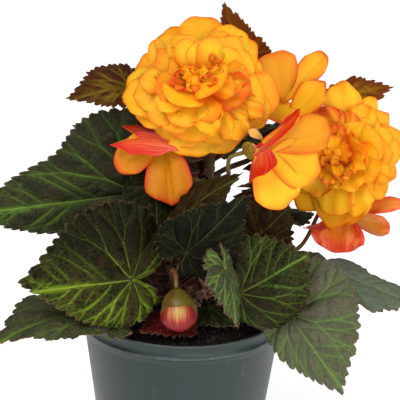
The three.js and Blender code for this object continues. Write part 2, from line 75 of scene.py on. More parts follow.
class Look:  # one material and the nodes behind it
    def __init__(self, name):
        self.material = bpy.data.materials.new(name)
        self.material.use_nodes = True
        self.tree = self.material.node_tree
        self.shader = self.tree.nodes["Principled BSDF"]

    def put(self, socket, value):
        if isinstance(value, Link):
            self.tree.links.new(value.socket, socket)
        else:
            socket.default_value = value

    def add(self, kind, settings, inputs, output=0):
        node = self.tree.nodes.new(kind)
        for name, value in settings.items():
            setattr(node, name, value)
        for key, value in inputs.items():
            self.put(node.inputs[key], value)
        return Link(self, node.outputs[output])

    def finish(self, **values):
        for name, value in values.items():
            self.put(self.shader.inputs[name], value)
        return self.material

    def mark(self, name, output="Fac"):  # a value that the mesh carries
        return self.add("ShaderNodeAttribute", {"attribute_name": name}, {}, output)

    def marks(self, *names):
        return [self.mark(name) for name in names]

    def place(self, scale=(1, 1, 1), source=None):  # object coordinates, or a mark, stretched
        where = source or self.add("ShaderNodeTexCoord", {}, {}, "Object")
        return self.add("ShaderNodeVectorMath", {"operation": "MULTIPLY"}, {0: where, 1: scale})

    def noise(self, scale, detail=2.0, roughness=0.5, where=None):
        inputs = {"Scale": scale, "Detail": detail, "Roughness": roughness}
        inputs["Vector"] = where or self.place()
        return self.add("ShaderNodeTexNoise", {}, inputs)

    def cells(self, scale, where):  # how far a place is from the edge of its cell
        inputs = {"Scale": scale, "Vector": where}
        return self.add("ShaderNodeTexVoronoi", {"feature": "DISTANCE_TO_EDGE"}, inputs)

    def step(self, value, low, high, start=0.0, end=1.0):  # runs smoothly from start to end
        inputs = {"Value": value, "From Min": low, "From Max": high, "To Min": start, "To Max": end}
        return self.add("ShaderNodeMapRange", {"interpolation_type": "SMOOTHSTEP"}, inputs)

    def mix(self, factor, first, second, blend="MIX"):
        settings = {"data_type": "RGBA", "blend_type": blend}
        return self.add("ShaderNodeMix", settings, {0: factor, 6: first, 7: second}, 2)

    def bump(self, height, distance, strength=1.0):
        return self.add("ShaderNodeBump", {}, {"Height": height, "Distance": distance, "Strength": strength})


def rgb(red, green, blue):  # 0 to 255, as a screen shows it
    linear = [((v / 255 + 0.055) / 1.055) ** 2.4 if v > 10 else v / 255 / 12.92 for v in (red, green, blue)]
    return (*linear, 1.0)


# Mesh building

class Heap:  # points in millimetres, faces and per-point marks, gathered part by part
    def __init__(self):
        self.points = []
        self.faces = []
        self.marks = {}
        self.count = 0

    def add(self, points, faces, **marks):
        self.points.append(points)
        self.faces += [one + self.count for one in faces]
        self.count += len(points)
        for name, value in marks.items():
            value = np.asarray(value, float)
            shape = (len(points), 3) if value.ndim == 2 else (len(points),)
            self.marks.setdefault(name, []).append((self.count - len(points), np.broadcast_to(value, shape)))


def addObject(name, data):
    made = bpy.data.objects.new(name, data)
    bpy.context.scene.collection.objects.link(made)
    return made


# Makes a heap a piece that rides on the plant and stands for one node of the solids
def makePiece(name, heap, look, node):
    mesh = bpy.data.meshes.new(name)
    points = np.concatenate(heap.points) * mm
    loops = np.concatenate([one.ravel() for one in heap.faces])
    sizes = np.concatenate([np.full(len(one), one.shape[1]) for one in heap.faces])
    mesh.vertices.add(len(points))
    mesh.vertices.foreach_set("co", points.ravel())
    mesh.loops.add(len(loops))
    mesh.loops.foreach_set("vertex_index", loops)
    mesh.polygons.add(len(sizes))
    mesh.polygons.foreach_set("loop_start", np.concatenate([[0], np.cumsum(sizes)[:-1]]))
    mesh.polygons.foreach_set("use_smooth", np.ones(len(sizes), bool))
    for mark, parts in heap.marks.items():
        isVector = parts[0][1].ndim == 2
        values = np.zeros((heap.count, 3) if isVector else heap.count)
        for start, part in parts:
            values[start:start + len(part)] = part
        kind, field = ("FLOAT_VECTOR", "vector") if isVector else ("FLOAT", "value")
        mesh.attributes.new(mark, kind, "POINT").data.foreach_set(field, values.ravel())
    mesh.update(calc_edges=True)
    mesh.materials.append(look)
    made = addObject(name, mesh)
    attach(made, "root")
    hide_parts(node)
    return made


def unit(v):
    return v / np.linalg.norm(v)


def units(rows):
    return rows / np.maximum(np.linalg.norm(rows, axis=1, keepdims=True), 1e-12)


def smooth(value, low, high):
    share = np.clip((value - low) / (high - low), 0, 1)
    return share * share * (3 - 2 * share)


def normalsOf(points, faces):
    normals = np.zeros_like(points)
    for one in faces:
        ends = points[one]
        if one.shape[1] == 4:
            across = np.cross(ends[:, 2] - ends[:, 0], ends[:, 3] - ends[:, 1])
        else:
            across = np.cross(ends[:, 1] - ends[:, 0], ends[:, 2] - ends[:, 0])
        for corner in range(one.shape[1]):
            np.add.at(normals, one[:, corner], across)
    return units(normals)


# Gives a sheet a thickness and closes it round its edge. Marks stay, and `back` is 1 on its under side.
def addThick(heap, points, faces, edge, thickness, **marks):
    normals = normalsOf(points, faces)
    half = np.broadcast_to(np.asarray(thickness, float) / 2, len(points))[:, None]
    count = len(points)
    ahead = np.roll(edge, -1)
    wall = np.stack([edge, edge + count, ahead + count, ahead], 1)
    both = np.concatenate([points + normals * half, points - normals * half])
    doubled = {}
    for name, value in marks.items():
        value = np.asarray(value, float)
        doubled[name] = np.concatenate([value, value]) if value.ndim else value
    doubled["back"] = np.repeat([0.0, 1.0], count)
    heap.add(both, [*faces, *[one[:, ::-1] + count for one in faces], wall], **doubled)


# A frame for a blade whose chord runs from start to end and that bends by `droop` over its length
def bladeFrame(start, end, face, droop):
    start, end, face = (np.asarray(v, float) for v in (start, end, face))
    reach = np.linalg.norm(end - start)
    along = (end - start) / reach
    out = unit(face - along * (face @ along))
    half = droop / 2
    return {
        "start": start,
        "left": np.cross(out, along),
        "length": reach if abs(half) < 1e-6 else reach * half / math.sin(half),
        "along": along * math.cos(half) + out * math.sin(half),
        "out": out * math.cos(half) - along * math.sin(half),
    }


def arcAt(length, curvature):
    turn = length * curvature
    safe = np.where(np.abs(curvature) < 1e-9, 1e-9, curvature)
    return np.sin(turn) / safe, (np.cos(turn) - 1) / safe


# Places in space of points of the flat blade: a along its middle line, b to its left, lift above it
def bend(blade, droop, sideBend, halfWidth, a, b, lift):
    a, b, lift = np.broadcast_arrays(a, b, lift)
    forward, down = arcAt(a, np.full(a.shape, droop / blade["length"]))
    across, fall = arcAt(np.abs(b), sideBend / halfWidth)
    turn = droop / blade["length"] * a
    normal = np.cos(turn)[..., None] * blade["out"] + np.sin(turn)[..., None] * blade["along"]
    place = blade["start"] + forward[..., None] * blade["along"] + down[..., None] * blade["out"]
    return place + (np.sign(b) * across)[..., None] * blade["left"] + (fall + lift)[..., None] * normal


# Short tapering hairs: one slim three-sided spike at each root
def addHairs(heap, roots, ways, lengths, thickness, **marks):
    count = len(roots)
    side = units(np.cross(ways, up + 0.001))
    other = np.cross(ways, side)
    around = []
    for k in range(3):
        turn = 2 * math.pi * k / 3
        around.append(roots + (side * math.cos(turn) + other * math.sin(turn)) * thickness)
    points = np.concatenate([*around, roots + ways * np.asarray(lengths).reshape(-1, 1)])
    first = np.arange(count)
    second, third, tip = first + count, first + 2 * count, first + 3 * count
    corners = ((first, second, tip), (second, third, tip), (third, first, tip), (third, second, first))
    heap.add(points, [np.stack(ends, 1) for ends in corners], **marks)


def addBall(heap, middle, radius, steps=8, **marks):
    rise = np.linspace(-math.pi / 2, math.pi / 2, steps + 1)[1:-1]
    turn = np.arange(2 * steps) * math.pi / steps
    rings = np.stack([
        np.outer(np.cos(rise), np.cos(turn)), np.outer(np.cos(rise), np.sin(turn)),
        np.outer(np.sin(rise), np.ones_like(turn)),
    ], 2)
    addRings(heap, middle + rings * radius, **marks)


# Closes a stack of rings with a point at either end. Rings run anticlockwise round the way they climb.
def addRings(heap, rings, **marks):
    count, sides = rings.shape[:2]
    ends = np.stack([rings[0].mean(0), rings[-1].mean(0)])
    r, k = np.meshgrid(np.arange(count - 1), np.arange(sides), indexing="ij")
    here, beside = (r * sides + k).ravel(), (r * sides + (k + 1) % sides).ravel()
    quads = np.stack([here, beside, beside + sides, here + sides], 1)
    first = np.arange(sides)
    after = (first + 1) % sides
    last = (count - 1) * sides
    foot = np.stack([after, first, np.full(sides, count * sides)], 1)
    head = np.stack([last + first, last + after, np.full(sides, count * sides + 1)], 1)
    marks = {
        name: value if np.ndim(value) == 0 else np.concatenate([value, value[:1], value[-1:]])
        for name, value in marks.items()
    }
    heap.add(np.concatenate([rings.reshape(-1, 3), ends]), [quads, foot, head], **marks)


# Leaves

leafSettings = {
    "spacing": 1.05,  # of the mesh
    "thickness": 0.62,
    "toothPitch": 6.4,
    "toothDepth": 3.3,
    "smallToothDepth": 0.7,
    "groove": 0.8,  # how deep the veins lie in the upper side
    "hairsPerMm": 1.3,
    "hairLength": 1.15,
}

# What a leaf is like where it doesn't say otherwise
usualLeaf = {
    "lop": 0,  # how much larger its left half is
    "lobes": 1,  # how long the lobes at its base are
    "slim": 1,  # how wide it is for its length
    "sharp": 1,  # how far its tip is drawn out
    "waist": 0,  # how much it narrows behind its tip
    "droop": 30, "left": 25, "right": 25,  # how many degrees its length and its halves bend down
    "wave": 0.02, "pleat": 0.025,  # how far its rim waves, and how high it rises between its veins
    "fringe": 1,  # how many hairs stand at its rim, and how long they are
    "via": [], "bracts": 0,  # where its petiole passes, and the bracts at each place on it
    "green": 0.5, "glow": 1,  # how far the green spreads from its veins, and how strong it is
    "dim": 0,  # how much darker its left half is painted, as shade, or its right half where this is below 0
    "young": 0, "red": 0, "lime": 0, "tan": 0, "pale": 0,  # how far it turns to each of these looks; the last is a painted grey-green sheen
}

# Each leaf: where its petiole meets the blade, its tip, the way its upper side faces, its stem and what
# else is its own
leaves = {
    "leaf_left_large": {
        "joint": (-27, -5, 185.5), "tip": (-135, -19, 174), "face": (0.08, -0.99, -0.03), "stem": "front",
        "via": [(-14, 9, 180)], "bracts": 4, "lop": -0.12, "lobes": 0.65, "slim": 0.77, "sharp": 0.8,
        "waist": 0.12, "droop": 5, "left": 58, "right": 18, "green": 0.85, "glow": 1.35, "dim": -0.45,
        "pale": 0.1,
    },
    "leaf_left_low": {
        "joint": (-28, -58, 151), "tip": (-92, -74, 153), "face": (0.04, -0.9, 0.41), "stem": "front",
        "bracts": 8, "lop": -0.2, "lobes": 0.9, "droop": 38, "left": 58, "right": -5, "glow": 1.45,
        "dim": -0.8, "lime": 0.75,
    },
    "leaf_left_rim": {
        "joint": (-47, -42, 123), "tip": (-106, -74, 114), "face": (-0.26, -0.33, 0.9), "stem": "front",
        "via": [(-34, -30, 118)], "lop": -0.22, "lobes": 0.6, "droop": 54, "left": -10, "right": 30,
        "glow": 1.1, "tan": 0.5, "pale": 0.15,
    },
    # its very low glow keeps its blade near dark: partly its own dark colour, partly painted shade under the
    # bloom above
    "leaf_middle": {
        "joint": (2, -61, 169), "tip": (37, -61, 206), "face": (0.15, -0.98, 0), "stem": "front",
        "bracts": 4, "lop": -0.05, "lobes": 0.75, "slim": 0.8, "droop": 38, "left": 14, "right": 12,
        "green": 0.1, "glow": 0.1,
    },
    "leaf_upright": {
        "joint": (-6, -38, 177), "tip": (34, -50, 213), "face": (-0.6, -0.4, 0.68), "stem": "front",
        "bracts": 3, "lobes": 0.35, "slim": 0.7, "droop": 38, "left": 30, "right": 20, "green": 0.3,
        "glow": 0.45, "young": 0.1,
    },
    "leaf_right_front": {
        "joint": (33, -62, 146), "tip": (83, -56, 178), "face": (0.01, -0.92, 0.38), "stem": "right",
        "lop": -0.12, "lobes": 0.38, "sharp": 0.3, "droop": 52, "left": 14, "right": 66, "green": 0.2,
        "glow": 0.85,
    },
    "leaf_right_hanging": {
        "joint": (62, -46, 128), "tip": (94, -78, 92), "face": (-0.15, -0.96, 0.12), "stem": "right",
        "lop": 0.3, "droop": 8, "left": -8, "right": 44, "glow": 1.4, "tan": 0.9, "pale": 0.45,
    },
    "leaf_folded": {
        "joint": (24, -81, 169), "tip": (31, -87, 135), "face": (0.85, -0.42, 0.3), "stem": "front",
        "via": [(6, -46, 138), (15, -69, 150)], "bracts": 4, "slim": 0.85, "droop": 25, "left": 36,
        "right": 40, "fringe": 1.8, "glow": 1.4, "lime": 0.35, "pale": 0.2,
    },
    "leaf_right_far": {
        "joint": (80, -8, 143), "tip": (142, -26, 124), "face": (0.12, -0.27, 0.95), "stem": "right",
        "lobes": 0.8, "droop": 20, "left": 60, "right": -12, "wave": 0.05, "green": 0.6, "pale": 1,
    },
    "leaf_upper_left": {
        "joint": (-34, 2, 249), "tip": (-71, -12, 243), "face": (-0.1, -0.7, 0.7), "stem": "back",
        "lop": -0.2, "slim": 0.78, "left": 20, "right": 20, "green": 0.7, "young": 0.85, "lime": 1,
    },
    "leaf_top": {
        "joint": (34, 28, 263), "tip": (20, 20, 299), "face": (-0.7, -0.65, 0.25), "stem": "back",
        "via": [(35, 31, 252)], "lop": -0.1, "lobes": 0.1, "slim": 0.85, "droop": 25, "left": 20,
        "right": 20, "green": 0.7, "young": 1,
    },
    "leaf_upper_right": {
        "joint": (92, 44, 234), "tip": (127, 38, 244.5), "face": (-0.15, -0.5, 0.85), "stem": "right",
        "droop": 25, "left": 20, "right": 30, "green": 1, "young": 1,
    },
    "leaf_right_small": {
        "joint": (43, -24, 166), "tip": (62, -24, 192), "face": (0.1, -0.9, 0.4), "stem": "right",
        "slim": 1.15, "droop": 20, "left": 15, "right": 15, "green": 0.2, "glow": 0.35, "young": 0.1,
    },
    "leaf_shaded": {
        "joint": (-17, -20, 197), "tip": (-17, -28, 165), "face": (0.1, -0.95, 0.3), "stem": "front",
        "lobes": 0.5, "slim": 1.05, "droop": 20, "left": 20, "right": 20, "green": 0.1, "glow": 0.4,
    },
    "leaf_on_soil": {
        "joint": (0, -38, 121), "tip": (-25, -56, 116.5), "face": (0, -0.2, 1), "stem": "front",
        "lobes": 0.2, "droop": 20, "left": 20, "right": 20, "glow": 0.3, "young": 1, "red": 1,
    },
    "leaf_by_bud": {
        "joint": (17, -36, 126), "tip": (33, -50, 120), "face": (0.1, -0.6, 0.8), "stem": "right",
        "droop": 20, "left": 20, "right": 20, "green": 0.2, "glow": 0.35,
    },
    "leaf_inner": {
        "joint": (13, 5, 158), "tip": (13, -2, 120), "face": (0.1, -0.95, 0.3), "stem": "back",
        "droop": 20, "left": 20, "right": 20, "green": 0.2, "glow": 0.4,
    },
    "leaf_back_left_low": {
        "joint": (-36, 42, 151), "tip": (-86, 68, 138), "face": (-0.3, 0.45, 0.85), "stem": "back",
        "droop": 36,
    },
    "leaf_back_left": {
        "joint": (-24, 48, 172), "tip": (-58, 94, 156), "face": (-0.2, 0.6, 0.75), "stem": "back",
        "droop": 34,
    },
    "leaf_back_low": {
        "joint": (9, 60, 137), "tip": (2, 112, 118), "face": (0, 0.6, 0.8), "stem": "back", "droop": 38,
    },
    "leaf_back_right": {
        "joint": (46, 48, 154), "tip": (84, 90, 142), "face": (0.2, 0.6, 0.75), "stem": "right",
        "droop": 34,
    },
    "leaf_back_upper": {
        "joint": (-2, 46, 212), "tip": (-14, 92, 216), "face": (0, 0.5, 0.85), "stem": "back",
        "lobes": 0.8, "droop": 36,
    },
    "leaf_back_upper_left": {
        "joint": (-30, 28, 206), "tip": (-74, 50, 210), "face": (-0.3, 0.4, 0.85), "stem": "back",
        "droop": 34,
    },
    "leaf_back_upper_right": {
        "joint": (42, 48, 206), "tip": (72, 86, 208), "face": (0.2, 0.5, 0.8), "stem": "back",
        "droop": 34,
    },
}


# How far a blade reaches from its petiole, by the angle from its midrib
def bladeReach(angle, leaf):
    away = np.abs(angle)
    tip = 0.34 * leaf["sharp"] * np.exp(-away / math.radians(16))
    notch = 0.42 * np.exp(-(((math.pi - away) / math.radians(22)) ** 2))
    waist = leaf["waist"] * np.exp(-(((away - math.radians(38)) / math.radians(22)) ** 2))
    base = 1 - (1 - leaf["lobes"]) * np.maximum(0, -np.cos(angle))
    return (0.56 + 0.1 * np.cos(angle) + tip - notch - waist) * (1 + leaf["lop"] * np.sin(angle)) * base


# Angles from notch to notch that are evenly spaced along the outline, and the outline's length
def evenAngles(leaf, size, spacing):
    angles = np.linspace(-math.pi, math.pi, 2881)
    reach = bladeReach(angles, leaf) * size
    x, y = reach * np.cos(angles), reach * np.sin(angles)
    run = np.concatenate([[0], np.cumsum(np.hypot(np.diff(x), np.diff(y)))])
    count = 4 * max(12, round(run[-1] / spacing / 4))
    return np.interp(np.arange(count) * run[-1] / count, run, angles), run[-1]


veinSettings = {
    "primaries": (0, 40, -40, 80, -80, 119, -119, 156, -156),  # degrees from the midrib
    "forks": (0.40, 0.68),  # shares of the way out where a side vein forks
    "spread": 21,
    "twigs": 0.2,  # how often a vein gives off a short twig
    "sideShares": (0.2, 0.36, 0.52, 0.67, 0.8, 0.9),  # where side veins leave the midrib
    "sideAngle": 45,
    "step": 1.6,
}


# Grows the forking veins of a leaf. Each row is a short stretch: its two ends and its strength, 1 to 0.
def veinsOf(leaf, size, random):
    rows = []
    step = veinSettings["step"] * max(size, 30) / 60

    def share(point):
        angle = math.atan2(point[1], point[0])
        return math.hypot(*point) / (float(bladeReach(angle, leaf)) * size)

    def grow(point, way, forks, strength, drift, steps=99, bend=0.03):
        for _ in range(steps):
            out = math.atan2(point[1], point[0])
            turn = (out - way + math.pi) % (2 * math.pi) - math.pi
            way += drift * turn + random.normal(0, bend)
            ahead = (point[0] + step * math.cos(way), point[1] + step * math.sin(way))
            reached = share(ahead)
            if reached > 0.985 or len(rows) > 3000:
                return
            rows.append((*point, *ahead, strength * (1 - 0.25 * reached)))
            point = ahead
            if steps == 99 and random.random() < veinSettings["twigs"]:
                side = random.choice([-1, 1]) * random.uniform(0.75, 1.15)
                grow(point, way + side, [], strength * 0.42, 0.0, random.integers(2, 8), 0.16)
            if forks and reached > forks[0]:
                spread = math.radians(veinSettings["spread"]) * random.uniform(0.75, 1.2)
                for side in (-1, 1):
                    later = [f + random.uniform(-0.04, 0.04) for f in forks[1:]]
                    grow(point, way + side * spread, later, strength * 0.78, 0.05)
                return

    for degrees in veinSettings["primaries"][1:]:
        way = math.radians(degrees + random.uniform(-4, 4))
        forks = [f + random.uniform(-0.06, 0.06) for f in veinSettings["forks"]]
        grow((0.0, 0.0), way, forks, 0.9, 0.04)
    grow((0.0, 0.0), 0.0, [], 1.0, 0.6)
    for k, along in enumerate(veinSettings["sideShares"]):
        for side in (-1, 1):
            away = along + 0.035 * side * (1 if k % 2 else -1)
            way = side * math.radians(veinSettings["sideAngle"]) * random.uniform(0.85, 1.15)
            start = (away * size * float(bladeReach(0, leaf)), 0.0)
            grow(start, way, [0.74 + 0.03 * k] if k < 4 else [], 0.62 - 0.04 * k, 0.02)
    veins = np.array(rows)
    veins[:, (1, 3)] *= leaf["slim"]
    return veins


# The distance from each point to its nearest vein, and that vein's strength
def nearestVein(points, veins):
    start, end, strength = veins[:, 0:2], veins[:, 2:4], veins[:, 4]
    run = end - start
    square = np.maximum((run ** 2).sum(1), 1e-9)
    nearest = np.full(len(points), 1e9)
    which = np.zeros(len(points))
    for k in range(0, len(veins), 64):
        part = slice(k, k + 64)
        away = points[:, None] - start[None, part]
        along = np.clip((away * run[None, part]).sum(2) / square[None, part], 0, 1)
        gap = np.linalg.norm(away - along[..., None] * run[None, part], axis=2)
        weighted = gap / (0.35 + 0.65 * strength[None, part])
        best = weighted.argmin(1)
        value = weighted[np.arange(len(points)), best]
        closer = value < nearest
        nearest[closer] = value[closer]
        which[closer] = strength[part][best[closer]]
    return nearest, which


# The flat blade as rings of points round its petiole, with fewer points nearer to it: the points, how far
# out each is and at what angle, the faces, and where each ring starts
def flatBlade(leaf, rim, outerReach, cut, rings):
    flat, shares, angles, columns = [np.zeros((1, 2))], [np.zeros(1)], [np.zeros(1)], []
    for ring in range(1, rings + 1):
        share = ring / rings
        stride = 1 if share > 0.5 else 2 if share > 0.24 else 4
        angle = rim[::stride]
        inset = np.minimum(cut, 0.3 * outerReach)[::stride] * share ** 7
        reach = outerReach[::stride] * share - inset
        flat.append(np.stack([reach * np.cos(angle), leaf["slim"] * reach * np.sin(angle)], 1))
        shares.append(np.full(len(angle), share))
        angles.append(angle)
        columns.append(len(angle))
    starts = 1 + np.concatenate([[0], np.cumsum(columns)])
    first = np.arange(columns[0])
    triangles = [np.stack([np.zeros_like(first), 1 + first, 1 + (first + 1) % columns[0]], 1)]
    quads = []
    for ring in range(rings - 1):
        inner, outer = columns[ring], columns[ring + 1]
        i = np.arange(inner)
        here, there = starts[ring], starts[ring + 1]
        after = here + (i + 1) % inner
        if inner == outer:
            quads.append(np.stack([here + i, there + i, there + (i + 1) % outer, after], 1))
        else:
            mid, last = there + 2 * i + 1, there + (2 * i + 2) % outer
            triangles.append(np.stack([here + i, there + 2 * i, mid], 1))
            triangles.append(np.stack([here + i, mid, after], 1))
            triangles.append(np.stack([after, mid, last], 1))
    faces = [np.concatenate(triangles), np.concatenate(quads)]
    return np.concatenate(flat), np.concatenate(shares), np.concatenate(angles), faces, starts


# One blade: large and small teeth round its rim, sunken veins, raised fields between them, a wavy rim and
# hairs along it
def leafHeap(leaf, seed):
    random = np.random.default_rng(seed)
    s = leafSettings
    bow = math.radians(leaf["droop"])
    blade = bladeFrame(leaf["joint"], leaf["tip"], leaf["face"], bow)
    size = blade["length"]
    rim, outline = evenAngles(leaf, size, s["spacing"])
    count = len(rim)
    rings = max(10, round(0.55 * size / s["spacing"]))
    teeth = max(12, round(outline / s["toothPitch"] * (1 + 0.4 * leaf["young"])))
    run = np.arange(count) / count
    quick, slow = np.sin(2 * math.pi * 7 * run + seed), np.sin(2 * math.pi * 3 * run)
    run = run + 0.25 / teeth * quick + 0.2 / teeth * slow  # makes some teeth longer than others
    fullness = min(1, size / 40 + 0.3 * leaf["young"])
    bumps = np.abs(np.sin(math.pi * teeth * run)) ** 0.6
    small = np.abs(np.sin(math.pi * (3 * teeth * run + 0.25)))
    cut = (s["toothDepth"] * (1 - bumps) + s["smallToothDepth"] * (1 - small)) * fullness
    cut += random.uniform(0, 0.35, count)
    flat, shares, angles, faces, starts = flatBlade(leaf, rim, bladeReach(rim, leaf) * size, cut, rings)
    near, strength = nearestVein(flat, veinsOf(leaf, size, random))
    width = 1.1 + 1.0 * strength
    scale = min(1.0, size / 60)
    groove = -s["groove"] * scale * (0.5 + strength) * np.exp(-((near / (0.9 * width)) ** 2))
    groove += 0.75 * scale * smooth(near, 1.0, 4.5)
    ribs = leaf["pleat"] * size * 2 * shares * (1 - shares) * (1 - np.cos(9 * angles))
    ripple = leaf["wave"] * size * shares ** 2 * np.sin(7 * angles + 1)
    ripple += 0.7 * scale * shares ** 6 * np.sin(teeth * 0.5 * angles + 2)
    sideBend = np.radians(np.where(flat[:, 1] > 0, leaf["left"], leaf["right"]))
    points = bend(blade, bow, sideBend, 0.56 * size, flat[:, 0], flat[:, 1], ribs + ripple + groove)
    edge = starts[rings - 1] + np.arange(count)
    # Painted shade: the glow, and with it the green and the bronze, is turned down over one half of the blade
    paintedShadeSide = smooth(math.copysign(1, leaf["dim"]) * flat[:, 1] / size, -0.1, 0.4)
    marks = {
        "vein": near / max(scale, 0.55), "strength": strength, "share": shares, "hair": 0.0,
        "glow": leaf["glow"] * (1 - abs(leaf["dim"]) * paintedShadeSide),
        "flat": np.concatenate([flat, np.full((len(flat), 1), seed * 7.0)], 1),
    }
    marks.update((name, leaf[name]) for name in ("green", "young", "pale", "red", "tan", "lime"))
    heap = Heap()
    thickness = s["thickness"] * (1 - 0.45 * shares ** 8)
    addThick(heap, points, faces, edge, thickness, **marks)
    normals = normalsOf(points, faces)
    hairs = int(outline * s["hairsPerMm"] * leaf["fringe"])
    at = random.integers(0, count, hairs)
    roots = points[edge[at]]
    outward = units(roots - points[starts[rings - 2] + at])
    ways = units(outward + 0.5 * random.normal(size=(hairs, 3)) - 0.15 * normals[edge[at]])
    lengths = s["hairLength"] * random.uniform(0.5, 1.3, hairs) * (0.6 + 0.4 * fullness) * leaf["fringe"]
    addHairs(heap, roots - outward * 0.1, ways, lengths, 0.08, hair=1.0, young=leaf["young"], share=1.0)
    return heap


leafColours = {
    "dark": rgb(14, 12, 8),
    "bronze": rgb(50, 36, 22),
    "deepGreen": rgb(40, 52, 17),
    "green": rgb(80, 108, 30),
    "core": rgb(116, 142, 62),
    "limeGreen": rgb(94, 114, 18),
    "limeCore": rgb(142, 154, 58),
    "tan": rgb(92, 76, 56),
    "youngDark": rgb(104, 42, 9),
    "youngLight": rgb(150, 112, 26),
    "limeDark": rgb(66, 26, 15),
    "limeLight": rgb(116, 94, 20),
    "redDark": rgb(66, 12, 16),
    "redVein": rgb(100, 46, 28),
    "margin": rgb(108, 76, 64),
    "under": rgb(96, 74, 52),
    "underVein": rgb(132, 112, 70),
    # grey-green of a painted sheen, laid on in patches
    "bloom": rgb(118, 130, 112),
    "hair": rgb(160, 122, 102),
}


def leafSkin():
    look = Look("leafSkin")
    c = leafColours
    vein, strength, share, back, hair = look.marks("vein", "strength", "share", "back", "hair")
    spread, glow, young, pale = look.marks("green", "glow", "young", "pale")
    red, tan, lime = look.marks("red", "tan", "lime")
    flat = look.mark("flat", "Vector")
    cloud = look.noise(0.11, 3.0, 0.55, flat)
    grain = look.noise(1.4, 3.0, 0.6, flat)
    stray = look.place((4, 4, 4), look.add("ShaderNodeTexNoise", {}, {"Vector": flat, "Scale": 0.3}, 1))
    net = look.cells(0.33, look.add("ShaderNodeVectorMath", {"operation": "ADD"}, {0: flat, 1: stray}))
    wide = 1.1 + 1.8 * spread + 1.4 * strength
    wander = vein + (cloud - 0.5) * 1.3 + (grain - 0.5) * 0.5
    halo = (1 - look.step(wander * wide ** -1.0, -0.3, 1.8)) ** 1.3
    halo = halo * look.step(strength, 0.15, 0.75, 0.35, 1.0) * glow
    outer = look.step(share, 0.05, 0.85, 0.3, 1.0)
    netLine = (1 - look.step(net, 0.0, 0.2)) * look.step(vein, 2.0, 7.0, 0.2, 0.05) * glow
    # a low glow also keeps the body near dark, which on leaf_middle and on one half of some leaves is painted
    # shade
    body = look.mix(look.step(cloud + (grain - 0.5) * 0.4, 0.25, 0.85) * glow, c["dark"], c["bronze"])
    body = look.mix(tan * look.step(grain + (cloud - 0.5), 0.2, 0.8, 0.35, 0.95), body, c["tan"])
    green = look.mix(lime, c["green"], c["limeGreen"])
    body = look.mix(netLine * outer, body, green)
    lit = look.mix(look.step(halo * outer, 0.15, 0.85), c["deepGreen"], green)
    body = look.mix(halo * outer, body, lit)
    core = (1 - look.step(vein, 0.05, 0.75)) * look.step(strength, 0.25, 0.95, 0.12, 0.75)
    line = look.mix(lime, c["core"], c["limeCore"])
    body = look.mix(core * look.step(share, 0.0, 0.9, 0.8, 1.0) * (0.25 + 0.75 * glow), body, line)
    freshVein = 1 - look.step(vein + (grain - 0.5) + (cloud - 0.5) * 3.0 * spread, 0.1, 0.7 + spread * 4.0)
    freshVein = freshVein * look.step(strength, 0.2, 0.7, 0.3, 1.0) * look.step(share, 0.55, 0.95, 1.0, 0.3)
    fresh = look.mix(lime, c["youngDark"], c["limeDark"])
    fresh = look.mix(freshVein, fresh, look.mix(lime, c["youngLight"], c["limeLight"]))
    fresh = look.mix(red, fresh, look.mix(look.step(vein, 0.1, 0.8), c["redVein"], c["redDark"]))
    body = look.mix(young, body, fresh)
    # Painted sheen: grey-green patches over the blade
    body = look.mix(pale * look.step(grain, 0.3, 0.7, 0.3, 0.65), body, c["bloom"])
    edge = look.step(share + (grain - 0.5) * 0.02, 0.975, 0.998) * (0.2 + 0.45 * glow)
    body = look.mix(edge, body, c["margin"])
    under = look.mix(1 - look.step(vein, 0.3, 1.6), c["under"], c["underVein"])
    body = look.mix(back * 0.9, body, under)
    body = look.mix(hair, body, c["hair"])
    rough = look.step(grain, 0.2, 0.8, 0.42, 0.60)
    height = grain * 0.5 + look.step(net, 0.0, 0.25) * 0.8
    return look.finish(**{
        "Base Color": body, "Roughness": rough, "Normal": look.bump(height, 0.00035, 0.6),
        "Specular IOR Level": 0.04,
    })


def pieceName(node):  # leaf_left_low becomes leafLeftLow
    words = node.split("_")
    return words[0] + "".join(word.capitalize() for word in words[1:])


leafMaterial = leafSkin()
for index, (node, own) in enumerate(leaves.items()):
    leaves[node] = {**usualLeaf, **own}
    slot = "young_leaf" if leaves[node]["young"] > 0.5 else "leaf"
    makePiece(pieceName(node), leafHeap(leaves[node], 11 + index), leafMaterial, node)
print("leaves made:", len(leaves))


# Tepals

# What a tepal is like where it doesn't say otherwise: angles in degrees, and shares of its size
usualTepal = {
    "rows": 18, "columns": 16, "thickness": 0.5,
    "cup": 20,  # how far its sides bend towards the way it faces, as one angle or as left and right
    "curl": 16, "lip": 0.06,  # how far its length bends away, and its rim rolls back
    "ruffle": 0, "fold": 0.02,  # how deep it waves, and how deep the crease down its middle is
    "point": 0, "blunt": 0,  # how pointed its tip is, and how square
    "belly": 1, "taper": 0,  # below 1 it is widest nearer to its root; how much its root narrows
    "arch": 0, "sweep": 0,  # how far its middle and its tip lie to one side
    "blush": 0, "backBlush": 0.3,  # how red its face and its back are
    "warm": 0, "redRim": 0,  # how orange its root is painted as shade in the crevices, and how red its rim
    "amber": 0, "pink": 0,  # how far it is darkened towards brown, partly its own deeper colour and partly painted shade, and how far its reds turn to pink
    "seed": 0,
}


# How wide a tepal's side stands out along its length, as a share of its greatest half width
def tepalWidth(t):
    return 0.22 + 1.9 * t - 1.18 * t ** 2


